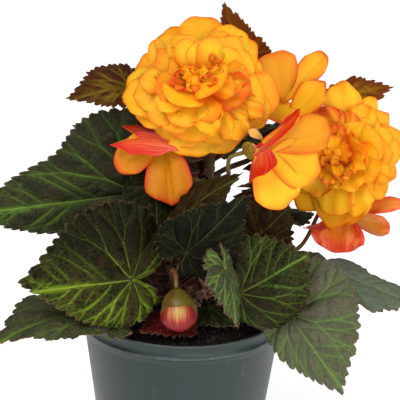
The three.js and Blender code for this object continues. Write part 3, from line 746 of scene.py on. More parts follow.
# One tepal, thick and closed, from its root to its tip
def addTepal(heap, root, tip, face, width, **own):
    s = {**usualTepal, **own}
    rows, columns, ruffle = s["rows"], s["columns"], s["ruffle"]
    random = np.random.default_rng(s["seed"])
    bow = math.radians(s["curl"])
    blade = bladeFrame(root, tip, face, bow)
    length = blade["length"]
    halfWidth = width / 2
    t = np.linspace(0, 1, rows + 1)[:, None] * np.ones((1, columns + 1))
    q = np.sin(np.linspace(-1, 1, columns + 1) * math.pi / 2 * 0.8)[None, :] / math.sin(math.pi * 0.4)
    q = q * np.ones((rows + 1, 1))
    phase = random.uniform(0, 6.28, 4)
    cap = np.radians(70) * q  # the tip is rounded like the end of an ellipse
    scallop = 0.010 * np.sin(5 * q + phase[0]) + 0.006 * np.sin(9 * q + phase[1])
    shape = 1 - 0.38 * (1 - s["blunt"]) * (1 - np.cos(cap)) - s["point"] * np.abs(q) * (1.6 - np.abs(q))
    a = length * t * (1 + t ** 3 * (shape - 1) + scallop * t ** 4)
    side = q * (1 - t ** 2) + t ** 2 * np.sin(cap) / math.sin(np.radians(70))
    b = halfWidth * tepalWidth(t ** s["belly"]) * side
    b *= (1 - (1 - s["belly"]) * 0.8 * t ** 2) * (1 - s["taper"] * (1 - smooth(t, 0, 0.35)))
    b += s["sweep"] * halfWidth * t * (t - 0.5) * 2 + s["arch"] * halfWidth * 4 * t * (1 - t)
    toEdge = np.minimum(1 - np.abs(q), (1 - t) * 1.6 * length / max(width, 1e-3) + 0.02)
    rim = 1 - np.clip(toEdge, 0, 1)
    lift = -s["lip"] * length * smooth(rim, 0.62, 1.0) * smooth(t, 0.35, 0.9)
    lift += ruffle * length * t ** 2 * np.sin(4.2 * q + phase[3]) * (0.3 + 0.7 * np.abs(q))
    lift += (ruffle * 0.5 + max(0, ruffle - 0.06)) * length * t ** 4 * np.sin(10 * q + phase[1])
    lift -= s["fold"] * width * np.exp(-((q / 0.14) ** 2)) * 4 * t * (1.1 - t)
    left, right = np.broadcast_to(s["cup"], 2)
    sideBend = -np.radians(np.where(q > 0, left, right)) * (0.55 + 0.45 * t)
    grid = bend(blade, bow, sideBend, halfWidth, a, b, lift)
    wide = columns + 1
    r, c = np.meshgrid(np.arange(rows), np.arange(columns), indexing="ij")
    here = (r * wide + c).ravel()
    faces = np.stack([here, here + wide, here + wide + 1, here + 1], 1)
    edge = np.concatenate([
        np.arange(rows) * wide, rows * wide + np.arange(columns),
        np.arange(rows, 0, -1) * wide + columns, np.arange(columns, 0, -1),
    ])
    thick = np.maximum(s["thickness"] * (1 - 0.5 * rim ** 3), 0.2)
    flat = np.stack([t, q * width / max(length, 1e-6), np.full(t.shape, s["seed"] * 1.37)], 2)
    marks = {name: s[name] for name in ("blush", "backBlush", "warm", "redRim", "amber", "pink")}
    addThick(
        heap, grid.reshape(-1, 3), [faces], edge, thick.ravel(), rim=rim.ravel(), along=t.ravel(),
        flat=flat.reshape(-1, 3), tone=random.uniform(0, 1), **marks,
    )
    return grid


petalColours = {
    "yellow": rgb(240, 179, 26),
    "gold": rgb(239, 155, 18),
    "orange": rgb(236, 120, 16),
    # deep orange of the painted shade at tepal roots
    "deep": rgb(232, 102, 6),
    "rim": rgb(228, 84, 14),
    "amber": (0.62, 0.46, 0.3, 1.0),
    "red": rgb(196, 16, 8),
    "pink": rgb(198, 36, 40),
    "coral": rgb(206, 56, 36),
    "salmon": rgb(238, 134, 100),
    "streak": rgb(250, 170, 140),
}


def petalSkin():
    look = Look("petalSkin")
    c = petalColours
    rim, along, back, tone = look.marks("rim", "along", "back", "tone")
    blush, backBlush, warm = look.marks("blush", "backBlush", "warm")
    redRim, amber, pink = look.marks("redRim", "amber", "pink")
    flat = look.mark("flat", "Vector")
    streak = look.noise(1.0, 3.0, 0.55, look.place((1.6, 26, 1), flat))
    cloud = look.noise(2.3, 2.0, 0.5, look.place((1, 1.4, 1), flat))
    tint = (cloud - 0.5) * 0.6 + (tone - 0.5) * 0.35
    body = look.mix(look.step(rim + tint, 0.35, 1.0), c["yellow"], c["gold"])
    body = look.mix(look.step(rim + tint * 0.5 + (streak - 0.5) * 0.15, 0.82, 1.12), body, c["orange"])
    # Painted shade: deep orange at each tepal's root, where it lies deep between the layers
    body = look.mix(warm * look.step(along + (streak - 0.5) * 0.25, 0.15, 0.75, 0.95, 0.0), body, c["deep"])
    # Darkened towards brown: partly a deeper own colour, partly painted shade
    body = look.mix(amber, body, c["amber"], "MULTIPLY")
    body = look.mix(look.step(rim, 0.93, 1.0) * 0.5, body, c["rim"])
    body = look.mix(redRim * look.step(rim + (streak - 0.5) * 0.2, 0.72, 1.0), body, c["red"])
    body = look.mix(look.step(streak, 0.45, 0.75) * 0.2, body, c["orange"])
    reddened = look.mix(look.step(streak, 0.35, 0.7), c["rim"], c["coral"])
    reddened = look.mix(pink * 0.85, reddened, look.mix(look.step(cloud, 0.35, 0.6), c["salmon"], c["coral"]))
    reach = look.step(rim + (streak - 0.5) * 0.4, 0.1, 0.95, 0.45, 1.0)
    body = look.mix(blush * reach, body, reddened)
    underRed = look.mix(look.step(streak, 0.45, 0.9), c["red"], c["rim"])
    underRed = look.mix(pink, underRed, look.mix(look.step(streak, 0.3, 0.7), c["pink"], c["coral"]))
    underRed = look.mix(look.step(streak - along * 0.35, 0.28, 0.5) * 0.25, underRed, c["streak"])
    spread = look.step(rim + (streak - 0.5) * 0.6, -0.1, 0.8, 0.8, 1.0)
    under = look.mix(backBlush * spread, c["gold"], underRed)
    # the same darkening, partly painted shade, on the back
    under = look.mix(amber, under, c["amber"], "MULTIPLY")
    body = look.mix(back, body, under)
    height = streak * 0.7 + cloud * 0.6
    return look.finish(**{
        "Base Color": body, "Roughness": look.step(streak, 0.2, 0.8, 0.42, 0.56),
        "Normal": look.bump(height, 0.0003, 0.6), "Subsurface Weight": 0.45,
        "Subsurface Radius": (1.0, 0.4, 0.06), "Subsurface Scale": 0.0016, "Specular IOR Level": 0.16,
    })


petalMaterial = petalSkin()

bloomSettings = {
    "rootAhead": (0.0, 2.5, 5.0, 8.0, 10.0),  # how far forward each layer's tepals start, by layer
    "tipAhead": (-5.0, 5.0, 15.0, 24.0, 27.0),  # and how far forward their tips are
    "curl": (18.0, 18.0, 20.0, 24.0, 30.0),
    "cup": (5.0, 7.0, 10.0, 26.0, 44.0),
    "twist": (9.0, 9.0, 10.0, 12.0, 16.0),
    "bitLength": (6, 10.5), "bitWidth": (4, 9), "bitAhead": (9, 13),  # of the small tepals of the heart
}

# The tepals of each double bloom, from the outer layer inwards: the tip's place across and up from the
# bloom's middle, the width, the layer, and for some how ruffled and how red they are. A free one has its
# root, tip, width, cup, ruffle and redness. The heart has a middle, half a width and half a height, is made
# of small bits with red rims, and is filled that far forward.
blooms = {
    "flower_double_left": {
        "base": (7, -16, 253), "aim": (-0.03, -0.92, 0.39),
        "tepals": [
            (4.6, 43.5, 29, 0), (-16.5, 37.5, 28, 0), (21.5, 37.5, 24, 0), (31.5, 28.0, 22, 0),
            (36.5, 15.4, 22, 0), (38.0, 3.0, 22, 0), (45.0, -9.6, 31, 0), (38.5, -20.5, 24, 0),
            (24.0, -32.0, 26, 0), (6.9, -37.6, 34, 0), (-11.4, -33.5, 27, 0),
            (-25.6, -24.0, 23, 0), (-36.4, -17.0, 22, 0), (-44.0, -10.5, 23, 0), (-43.6, 1.0, 21, 0),
            (-38.5, 12.0, 22, 0), (-31.0, 25.0, 24, 0),
            (-13.2, 31.0, 19, 1), (13.5, 34.0, 20, 1), (23.0, 28.5, 18, 1, 0.04), (31.5, 16.4, 20, 1),
            (35.0, 4.5, 19, 1), (37.0, -8.0, 26, 1), (30.0, -23.5, 20, 1, 0.09, 0.25),
            (37.0, -15.0, 15, 1, 0.10, 0.45), (14.6, -30.5, 20, 1, 0.05), (-4.5, -30.6, 31, 1),
            (-20.5, -23.5, 20, 1, 0.04), (-30.5, -14.5, 19, 1), (-37.5, -6.0, 22, 1, 0.03, 0.05),
            (-34.0, 7.0, 16, 1), (-24.5, 20.5, 18, 1, 0.06, 0.3), (-28.0, 14.0, 14, 1, 0.05, 0.25),
            (-9.6, 27.5, 15, 2), (0.6, 28.0, 18, 2), (9.2, 29.0, 15, 2), (20.3, 22.0, 19, 2),
            (27.5, 8.5, 17, 2, 0.08, 0.3), (28.5, -4.0, 20, 2, 0.14, 0.65), (12.0, -25.5, 15, 2, 0.08, 0.1),
            (7.2, -20.0, 15, 2, 0.04, 0.3), (-2.0, -20.5, 16, 2), (-15.5, -20.5, 19, 2),
            (-23.8, -12.0, 14, 2), (-25.0, 1.5, 17, 2, 0.07, 0.25), (-18.0, 13.0, 12, 2, 0.07, 0.2),
            (-11.6, -11.5, 22, 3), (20.5, 3.5, 15, 3, 0.07, 0.15),
            (-15.5, 2.5, 12, 3, 0.1, 0.8), (12.5, 11.5, 9, 3, 0.12, 0.5), (-9.0, 10.5, 9, 3, 0.12, 0.3),
        ],
        "free": [
            ((3, 6, 12), (11.5, -3.5, 26), 27, 25, 0.03, 0), ((6, 13, 11), (8, 17, 18), 5, 40, 0.15, 0.6),
            ((7, 11, 11), (11, 14, 19), 6, 50, 0.15, 0.7), ((-9, 4, 12), (-13, 2, 24), 9, 60, 0.15, 0.9),
            ((7, -1, 14), (9, 2, 26), 8, 60, 0.15, 0.8),
        ],
        "heart": (-2.5, 3.0, 12.5, 5.0), "bits": 34, "bitSize": 1, "rims": 0.25, "point": 0.02, "fill": 11,
    },
    "flower_double_right": {
        "base": (97, 8, 211), "aim": (-0.2, -0.93, 0.28),
        "tepals": [
            (14.1, 33.5, 14, 0), (24.2, 23.5, 17, 0), (32.0, 11.9, 20, 0), (32.0, -2.0, 20, 0),
            (24.5, -25.0, 20, 0), (3.0, -45.0, 28, 0, 0.04, 0.1), (-12.0, -46.5, 26, 0),
            (-24.5, -39.5, 24, 0), (-31.5, -28.0, 22, 0), (-31.0, -12.0, 22, 0), (-30.0, 6.0, 22, 0),
            (-26.0, 22.0, 20, 0), (-16.0, 35.0, 18, 0), (29.5, -13.9, 18, 0),
            (-6.8, 43.0, 22, 1, 0.04), (10.6, 30.0, 18, 1, 0.05), (18.2, 20.0, 16, 1, 0.05),
            (26.5, 13.0, 16, 1), (27.5, 0.5, 19, 1), (28.0, -14.5, 16, 1, 0.05, 0.15),
            (15.8, -27.0, 23, 1, 0.04), (3.4, -38.0, 26, 1, 0.04), (-11.0, -37.5, 24, 1),
            (-23.3, -25.6, 22, 1, 0.05), (-22.0, -4.0, 16, 1), (-21.0, 14.0, 16, 1),
            (8.3, 20.5, 18, 2, 0.05), (21.0, 9.4, 23, 2), (20.6, -3.5, 20, 2), (17.4, -14.5, 18, 2, 0.07),
            (5.5, -22.2, 19, 2, 0.06), (-8.8, -20.9, 17, 2, 0.09, 0.25), (-15.1, -11.4, 16, 2, 0.11, 0.35),
            (-17.0, 0.0, 15, 2, 0.11, 0.45), (-16.5, 27.0, 19, 2, 0.13, 0.85), (0.5, 26.0, 14, 2, 0.12, 0.65),
            (-11.0, 11.0, 14, 3, 0.12, 0.5), (-4.0, 15.0, 13, 3, 0.1, 0.3), (11.5, 6.5, 19, 3, 0.05),
            (11.0, -7.5, 15, 3, 0.08), (0.5, -14.5, 12, 3, 0.1, 0.3), (-11.0, -5.5, 12, 3, 0.12, 0.5),
        ],
        "free": [
            ((-7, -4, 13), (-9, 8, 27), 15, 55, 0.09, 0.25), ((-6, -6, 14), (-2, -14, 28), 9, 40, 0.06, 0),
            ((-7, -3, 12), (-15, -5, 25), 16, 45, 0.1, 0.4), ((-4, -3, 12), (3, 2, 26), 15, 45, 0.1, 0.1),
            ((-6, -9, 12), (-10, -19, 25), 13, 50, 0.1, 0.4), ((-4, -8, 12), (4, -13, 25), 14, 45, 0.1, 0.15),
            ((-5, 4, 12), (-5, 15, 25), 12, 50, 0.15, 0.7),
        ],
        "heart": (-6.0, -5.0, 4.0, 10.0), "bits": 8, "bitSize": 1.4, "rims": 0.6, "point": 0.06, "fill": 14,
    },
}


def makeBloom(node, bloom, seed):
    heap = Heap()
    random = np.random.default_rng(seed)
    aim = unit(np.array(bloom["aim"], float))
    side = unit(np.cross(up, aim))
    top = np.cross(aim, side)
    base = np.array(bloom["base"], float)
    s = bloomSettings

    def place(across, upward, ahead):
        return base + side * across + top * upward + aim * ahead

    for index, (x, y, width, layer, *extra) in enumerate(bloom["tepals"]):
        ruffle, blush = (*extra, 0.0, 0.0)[:2]
        outward = unit(side * x + top * y)
        tipAhead = s["tipAhead"][layer] + random.uniform(-2.5, 2.5)
        tip = place(x, y - 0.087 * tipAhead, tipAhead)
        root = base + aim * s["rootAhead"][layer] + outward * 1.8
        face = aim - outward * 0.1
        way = unit(tip - root)
        twist = math.radians(s["twist"][layer] + random.uniform(-7, 7))
        face = face * math.cos(twist) + np.cross(way, face) * math.sin(twist)
        addTepal(
            heap, root, tip, face, width * 1.12, cup=s["cup"][layer] + random.uniform(-8, 8, 2),
            curl=s["curl"][layer] + random.uniform(-8, 8), lip=random.uniform(-0.01, 0.03),
            ruffle=ruffle + random.uniform(0.01, 0.03), blush=blush, backBlush=0.2 + blush,
            seed=seed * 100 + index, point=bloom["point"] * random.uniform(0, 2),
            sweep=random.uniform(-0.35, 0.35), warm=1.0,
        )
    for index, (root, tip, width, cup, ruffle, blush) in enumerate(bloom["free"]):
        face = aim - 0.9 * (side * tip[0] + top * (tip[1] - 4)) / 15
        addTepal(
            heap, place(*root), place(*tip), face, width, cup=cup, curl=25, lip=0.02, ruffle=ruffle,
            blush=blush, backBlush=0.2 + 0.8 * blush, seed=seed * 100 + 55 + index, warm=0.4,
            redRim=bloom["rims"],
        )
    acrossMiddle, upMiddle, wide, tall = bloom["heart"]
    for index in range(bloom["bits"]):
        turn, away = random.uniform(0, 2 * math.pi), math.sqrt(random.uniform(0.02, 1))
        x, y = wide * away * math.cos(turn), tall * away * math.sin(turn)
        outward = unit(side * x + top * y)
        length = random.uniform(*s["bitLength"]) * (0.5 + 0.5 * bloom["bitSize"])
        root = place(acrossMiddle + 0.7 * x, upMiddle + 0.7 * y, random.uniform(*s["bitAhead"]))
        lean = outward * random.uniform(0.1, 0.75) + 0.45 * random.normal() * np.cross(aim, outward)
        tip = root + unit(aim + lean) * length
        face = unit(random.normal() * 0.9 * np.cross(aim, outward) - outward + 0.5 * aim)
        red = random.choice([0.0, 0.2, 0.8], p=[0.66, 0.22, 0.12])
        addTepal(
            heap, root, tip, face, random.uniform(*s["bitWidth"]) * bloom["bitSize"],
            cup=random.uniform(0, 85, 2), curl=random.uniform(-20, 90), lip=0.1,
            ruffle=random.uniform(0.05, 0.12), blush=red, backBlush=min(1, red + 0.15),
            seed=seed * 100 + 60 + index, rows=10, columns=10, sweep=random.uniform(-0.8, 0.8), warm=0.2,
            redRim=bloom["rims"],
        )
    for ahead, size in ((3, 5), (0.6 * bloom["fill"], 6), (bloom["fill"], 5)):  # nothing shows through
        for share in (-0.5, 0, 0.5):
            middle = place(acrossMiddle + share * wide, upMiddle + share * tall, ahead)
            # their orange is painted shade deep in the heart
            addBall(heap, middle, size, rim=0.6, warm=0.3)
    makePiece(pieceName(node), heap, petalMaterial, node)
    return heap.count


for index, (node, bloom) in enumerate(blooms.items()):
    print("double bloom made:", node, makeBloom(node, bloom, 3 + index), "points")


# Single flowers: each tepal has its own tip, facing and width. `back` and `pink` colour their backs.
singles = {
    "flower_single_top": {
        "base": (57, 10, 241), "ovary": (49, 18, 234),
        "tepals": [
            {"tip": (49, 12, 270), "face": (0.1, -0.9, 0.3), "width": 27, "cup": 25, "curl": 20,
             "blunt": 0.4, "amber": 0.65},
            {"tip": (81, 14, 270), "face": (-0.3, -0.85, 0.3), "width": 17, "cup": 35, "curl": 15,
             "redRim": 0.7, "amber": 0.3},
            {"tip": (80, 0, 256), "root": (61, 2, 231), "face": (-0.45, -0.8, 0.3), "width": 21,
             "cup": (15, 35), "curl": 15, "point": 0.1, "redRim": 0.8, "amber": 0.2},
            {"tip": (59, -6, 232), "face": (0, -0.75, 0.6), "width": 26, "cup": 20, "curl": 20,
             "amber": 0.2},
        ],
        "back": 0.2, "pink": 0.5, "heart": 2.8, "stigmas": 46, "stem": "back", "via": [],
    },
    "flower_single_right": {
        "base": (42, -43, 228), "ovary": (33, -40, 223),
        "wing": ((43, -43, 232), (34.5, -42, 237)),
        "tepals": [
            {"tip": (64, -42, 249), "root": (38, -46, 223), "face": (0.55, 0.25, -0.8), "width": 12,
             "cup": 20, "curl": 12, "redRim": 1},
            {"tip": (82, -38, 238), "face": (0.1, -0.92, 0.3), "width": 23, "cup": 15, "curl": 20,
             "ruffle": 0.03, "amber": 0.8},
            {"tip": (75, -46, 212), "face": (0.1, -0.9, 0.4), "width": 27, "cup": 15, "curl": 20,
             "ruffle": 0.03, "amber": 0.25},
            {"tip": (56, -54, 195), "face": (0.2, -0.93, 0.3), "width": 29, "cup": 20, "curl": 25,
             "ruffle": 0.035},
            {"tip": (40, -64, 215), "face": (0.6, 0.66, -0.3), "width": 24, "cup": (50, 30), "curl": 20},
            {"tip": (61.5, -55, 236), "root": (48, -58, 229), "face": (0.3, -0.8, 0.5), "width": 5.5,
             "cup": 60, "curl": 20, "point": 0.2, "redRim": 1, "amber": 0.8},
        ],
        "back": 1.0, "pink": 0.0, "heart": 1.7, "stigmas": 0, "stem": "front", "via": [(24, -28, 198)],
    },
    "flower_single_left": {
        "base": (-13, -12, 223), "ovary": (-9, -2, 218),
        "tepals": [
            {"tip": (-37, -18, 230), "face": (-0.2, 0.5, -0.85), "width": 12, "cup": 25, "curl": 10,
             "point": 0.3, "belly": 0.7, "amber": 0.9, "pink": 0.1},
            {"tip": (-43.5, -34, 223), "root": (-4, -26, 219), "face": (-0.1, 0.7, -0.7), "width": 20,
             "cup": 30, "curl": 6, "ruffle": 0.02, "fold": 0.05, "point": 0.3, "belly": 0.55,
             "arch": 0.5, "taper": 0.8},
            {"tip": (-40, -29, 208.5), "face": (0.2, -0.9, 0.3), "width": 20, "cup": 20, "curl": 15,
             "redRim": 0.5, "amber": 0.9},
            {"tip": (-7.5, -33, 188), "face": (0, -0.95, -0.1), "width": 29, "cup": 20, "curl": 14,
             "ruffle": 0.035, "fold": 0.12, "point": 0.12, "blunt": 0.35, "redRim": 0.7, "amber": 1},
        ],
        "back": 1.0, "pink": 1.0, "heart": 1.7, "stigmas": 0, "stem": "front", "via": [],
    },
    "flower_single_low": {
        "base": (98, 20, 168), "ovary": (92, 29, 167),
        "tepals": [
            {"tip": (123.5, 0, 169), "face": (0.1, -0.85, -0.5), "width": 28, "cup": 20, "curl": 20,
             "blush": 0.65, "redRim": 0.3},
            {"tip": (92, -4, 151.5), "face": (-0.2, -0.9, -0.3), "width": 34, "cup": 25, "curl": 20,
             "ruffle": 0.06, "point": 0.05, "blunt": 0.3, "blush": 1, "redRim": 0.3},
            {"tip": (73, 6, 162), "face": (-0.6, -0.4, -0.6), "width": 14, "cup": 30, "curl": 20},
            {"tip": (134, 10, 180), "face": (0.2, -0.6, 0.7), "width": 12, "cup": 30, "curl": 15,
             "blush": 1},
        ],
        "back": 1.0, "pink": 0.8, "heart": 1.7, "stigmas": 0, "stem": "right", "via": [(72, 21, 145)],
    },
}

# What their tepals are like where they don't say otherwise
usualSingle = {"lip": 0.03, "ruffle": 0.015, "redRim": 0.3, "amber": 0.1, "rows": 34, "columns": 26}

for index, (node, flower) in enumerate(singles.items()):
    heap = Heap()
    middle = np.array(flower["base"], float)
    for k, own in enumerate(flower["tepals"]):
        shape = {**usualSingle, "backBlush": flower["back"], "pink": flower["pink"], **own}
        shape["seed"] = 500 + 10 * index + k
        tip, face, width = (shape.pop(name) for name in ("tip", "face", "width"))
        root = shape.pop("root", middle + unit(tip - middle))
        addTepal(heap, root, tip, face, width, **shape)
    addBall(heap, middle, flower["heart"], rim=1.0, redRim=flower["back"])
    count = flower["stigmas"]
    if count:
        random = np.random.default_rng(700 + index)
        ahead = np.mean([unit(np.array(own["face"], float)) for own in flower["tepals"]], 0)
        ways = units(unit(ahead) + 0.7 * random.normal(size=(count, 3)))
        addHairs(heap, middle + ways * 2.2, ways, random.uniform(2, 4.5, count), 0.55, rim=0.4, warm=0.5)
    makePiece(pieceName(node), heap, petalMaterial, node)
print("single flowers made:", len(singles))


# Stems

stemSettings = {
    "spacing": 1.5,  # of the mesh along a shoot
    "sides": 12,
    "petiole": 1.9,  # radius
    "drop": 0.5,  # how far below its end a shoot leaves the stem, by how far out it reaches
    "lowest": 37,  # above the stem's foot
    "highest": 0.97,  # share of the stem's length
    "stemBracts": (3, 21), "rootBracts": (2, 9),  # how many at a place, and their length
    "petioleBract": 12,
    "bractHairs": 44,
    "hairsPerMm": 3.4,
    "hairLength": 1.7,
}

# The places each stem passes, its radius at either end, how fresh its bark is, and the heights and ways of
# its bracts
stems = {
    "front": {
        "places": [(-6, -8, 84), (-6, -8, 112), (-6, -9, 150), (-3, -6, 196), (4, -3, 236)],
        "foot": 4.6, "head": 3, "fresh": 0,
        "bracts": [
            (118, (-0.8, -0.5, 0.1)), (126, (0.5, -0.8, 0.2)), (134, (-0.5, -0.8, 0)),
            (140, (-0.9, -0.4, 0.1)), (147, (-0.6, -0.8, 0.1)), (152, (-0.3, -0.9, 0)),
            (158, (-0.8, -0.6, 0.1)), (174, (0.9, 0.2, 0.2)), (182, (0.9, 0.3, 0.1)),
            (190, (0.8, 0.4, 0)),
        ],
    },
    "back": {
        "places": [(10, 26, 84), (10, 26, 112), (12, 27, 160), (16, 22, 215), (26, 22, 250)],
        "foot": 4.8, "head": 3.4, "fresh": 0.6,
        "bracts": [
            (172, (0.9, -0.2, 0.2)), (178, (-0.9, -0.3, 0.2)), (184, (0.9, -0.3, 0.1)),
            (190, (-0.9, -0.4, 0.1)), (196, (0.9, -0.4, 0.2)), (203, (-0.8, -0.4, 0.3)),
        ],
    },
    "right": {
        "places": [(36, 4, 84), (36, 4, 112), (44, 8, 150), (58, 18, 190), (70, 24, 214)],
        "foot": 4.4, "head": 2.4, "fresh": 0,
        "bracts": [
            (166, (-0.9, -0.2, 0.4)), (174, (-0.9, -0.2, 0.3)), (180, (-0.9, -0.3, 0.2)),
            (186, (-0.9, -0.3, 0.1)), (192, (-0.95, -0.3, 0)),
        ],
    },
}

budTop, budTip = np.array([-3.0, -54, 145]), np.array([0.0, -60, 121])
budWay = unit(budTip - budTop)
budMiddle = budTop + (budTip - budTop) * 0.36

# Flower stalks: the stem, the place the stalk ends at, its way there, how far it stops short, its radius and
# the places it passes
leftBloom, rightBloom = blooms["flower_double_left"], blooms["flower_double_right"]
stalks = [
    ("front", leftBloom["base"], leftBloom["aim"], 4.9, 2.6, []),
    ("right", rightBloom["base"], rightBloom["aim"], 4.5, 2.4, []),
    ("front", budTop, budWay, 0.3, 1.4, [(-6, -40, 150)]),
]
for flower in singles.values():
    way = np.subtract(flower["base"], flower["ovary"])
    stalks.append((flower["stem"], flower["ovary"], way, 0.3, 1.5, flower["via"]))


# A smooth curve through places, as evenly spaced points
def curveThrough(places, spacing):
    p = np.array(places, float)
    p = np.vstack([2 * p[0] - p[1], p, 2 * p[-1] - p[-2]])
    u = np.linspace(0, 1, 40)[:, None]
    line = [p[1:2]]
    for k in range(len(p) - 3):
        p0, p1, p2, p3 = p[k:k + 4]
        d0, d1, d2 = (np.linalg.norm(b - a) ** 0.5 for a, b in ((p0, p1), (p1, p2), (p2, p3)))
        t1 = ((p1 - p0) / d0 - (p2 - p0) / (d0 + d1) + (p2 - p1) / d1) * d1
        t2 = ((p2 - p1) / d1 - (p3 - p1) / (d1 + d2) + (p3 - p2) / d2) * d1
        run = p1 + t1 * u + (3 * (p2 - p1) - 2 * t1 - t2) * u ** 2 + (2 * (p1 - p2) + t1 + t2) * u ** 3
        line.append(run[1:])
    line = np.concatenate(line)
    run = np.concatenate([[0], np.cumsum(np.linalg.norm(np.diff(line, axis=0), axis=1))])
    even = np.linspace(0, run[-1], max(5, round(run[-1] / spacing)) + 1)
    return np.stack([np.interp(even, run, line[:, k]) for k in range(3)], 1)


def pointAt(line, share):
    at = min(share, 1) * (len(line) - 1)
    return np.array([np.interp(at, np.arange(len(line)), line[:, k]) for k in range(3)])


# The place on a stem that lies well below a point, where its shoot leaves the stem
def rootBelow(spine, end, foot):
    s = stemSettings
    want = max(end[2] - s["drop"] * math.hypot(end[0] - foot[0], end[1] - foot[1]), foot[2] + s["lowest"])
    share = 0.2
    while share < s["highest"] and pointAt(spine, share)[2] < want:
        share += 0.01
    return pointAt(spine, share)


def branchPath(spine, foot, end, way, via):
    root = rootBelow(spine, end, foot)
    reach = np.linalg.norm(end - root)
    level = (end - root) * (1, 1, 0)
    start = root + unit(level) * 0.3 * reach + up * 0.1 * reach
    behind = end - way * min(9, 0.22 * reach)
    return [root, *([np.array(v, float) for v in via] or [start]), behind, end]


# A round shoot with hairs all over, its radius running from foot to head with a slight wobble
def addShoot(heap, random, places, foot, head, **marks):
    line = curveThrough(places, stemSettings["spacing"])
    count, sides = len(line), stemSettings["sides"]
    ways = units(np.gradient(line, axis=0))
    side = unit(np.cross(ways[0], (0.31, 0.94, 0.13)))
    arms = []
    for way in ways:
        side = unit(side - way * (side @ way))
        arms.append(side)
    arms = np.array(arms)
    others = np.cross(ways, arms)
    share = np.linspace(0, 1, count)
    radius = foot + (head - foot) * share
    radius *= 1 + 0.05 * np.sin(share * count * 0.35 + random.uniform(0, 6))
    turn = np.arange(sides) * 2 * math.pi / sides
    outward = np.cos(turn)[None, :, None] * arms[:, None] + np.sin(turn)[None, :, None] * others[:, None]
    rings = line[:, None] + outward * radius[:, None, None]
    addRings(heap, rings, share=np.repeat(share, sides), **marks)
    length = np.linalg.norm(np.diff(line, axis=0), axis=1).sum()
    hairs = int(length * stemSettings["hairsPerMm"] * (0.6 + 0.25 * foot))
    i, k = random.integers(1, count - 1, hairs), random.integers(0, sides, hairs)
    spread = random.uniform(0, 1, (hairs, 1))
    roots = rings[i, k] * spread + rings[i - 1, k] * (1 - spread)
    tips = units(outward[i, k] + 0.35 * random.normal(size=(hairs, 3)) + 0.25 * ways[i])
    lengths = stemSettings["hairLength"] * random.uniform(0.4, 1.2, hairs)
    addHairs(heap, roots - tips * 0.15, tips, lengths, 0.07, hair=1.0, **marks)


# Small brown papery bracts with a fringe of hairs, at one place on a shoot
def addBracts(heap, random, place, way, count, length):
    hairs = stemSettings["bractHairs"]
    for _ in range(count):
        lean = unit(way + 0.65 * random.normal(size=3))
        tip = place + lean * length * random.uniform(0.7, 1.25)
        face = unit(np.cross(lean, random.normal(size=3)))
        grid = addTepal(
            heap, place, tip, face, length * random.uniform(0.45, 0.75), cup=random.uniform(10, 80, 2),
            curl=random.uniform(-30, 70), lip=0.0, ruffle=0.08, point=0.35, rows=9, columns=8,
            seed=int(random.integers(1e6)), warm=1.0,
        )
        rim = np.concatenate([grid[2:, 0], grid[2:, -1], grid[-1]])
        roots = rim[random.integers(0, len(rim), hairs)]
        outward = (roots - (place + tip) / 2) * 0.18
        ways = units(unit(tip - place) * 0.4 + outward + 0.4 * random.normal(size=(hairs, 3)))
        addHairs(heap, roots, ways, random.uniform(0.8, 2.4, hairs), 0.08, hair=1.0)


stemColours = {
    "bract": rgb(64, 36, 27),
    "bractRim": rgb(112, 70, 56),
    "brown": rgb(74, 46, 32),
    "dark": rgb(38, 26, 20),
    "olive": rgb(112, 104, 50),
    "red": rgb(122, 52, 34),
    "hair": rgb(158, 124, 98),
}


def stemSkin():
    look = Look("stemSkin")
    c = stemColours
    cloud = look.noise(160.0, 3.0)
    streak = look.noise(420.0, 2.0, 0.5, look.place((1, 1, 0.15)))
    body = look.mix(look.step(cloud, 0.35, 0.65), c["dark"], c["brown"])
    stalk = look.mix(look.step(cloud + (streak - 0.5) * 0.5, 0.4, 0.65), c["olive"], c["red"])
    body = look.mix(look.mark("stalk") * 0.85, body, stalk)
    paper = look.mix(look.step(look.mark("rim") + (streak - 0.5), 0.5, 1.0), c["bract"], c["bractRim"])
    # the mark that paints shade into a tepal's root is 1 on bracts, and here picks out their papery brown
    body = look.mix(look.mark("warm") * look.step(cloud, 0.3, 0.6, 0.6, 1.0), body, paper)
    body = look.mix(look.mark("hair") * 0.9, body, c["hair"])
    return look.finish(**{
        "Base Color": body, "Roughness": look.step(cloud, 0.2, 0.8, 0.5, 0.66), "Specular IOR Level": 0.15,
        "Normal": look.bump(streak, 0.0003, 0.5),
    })


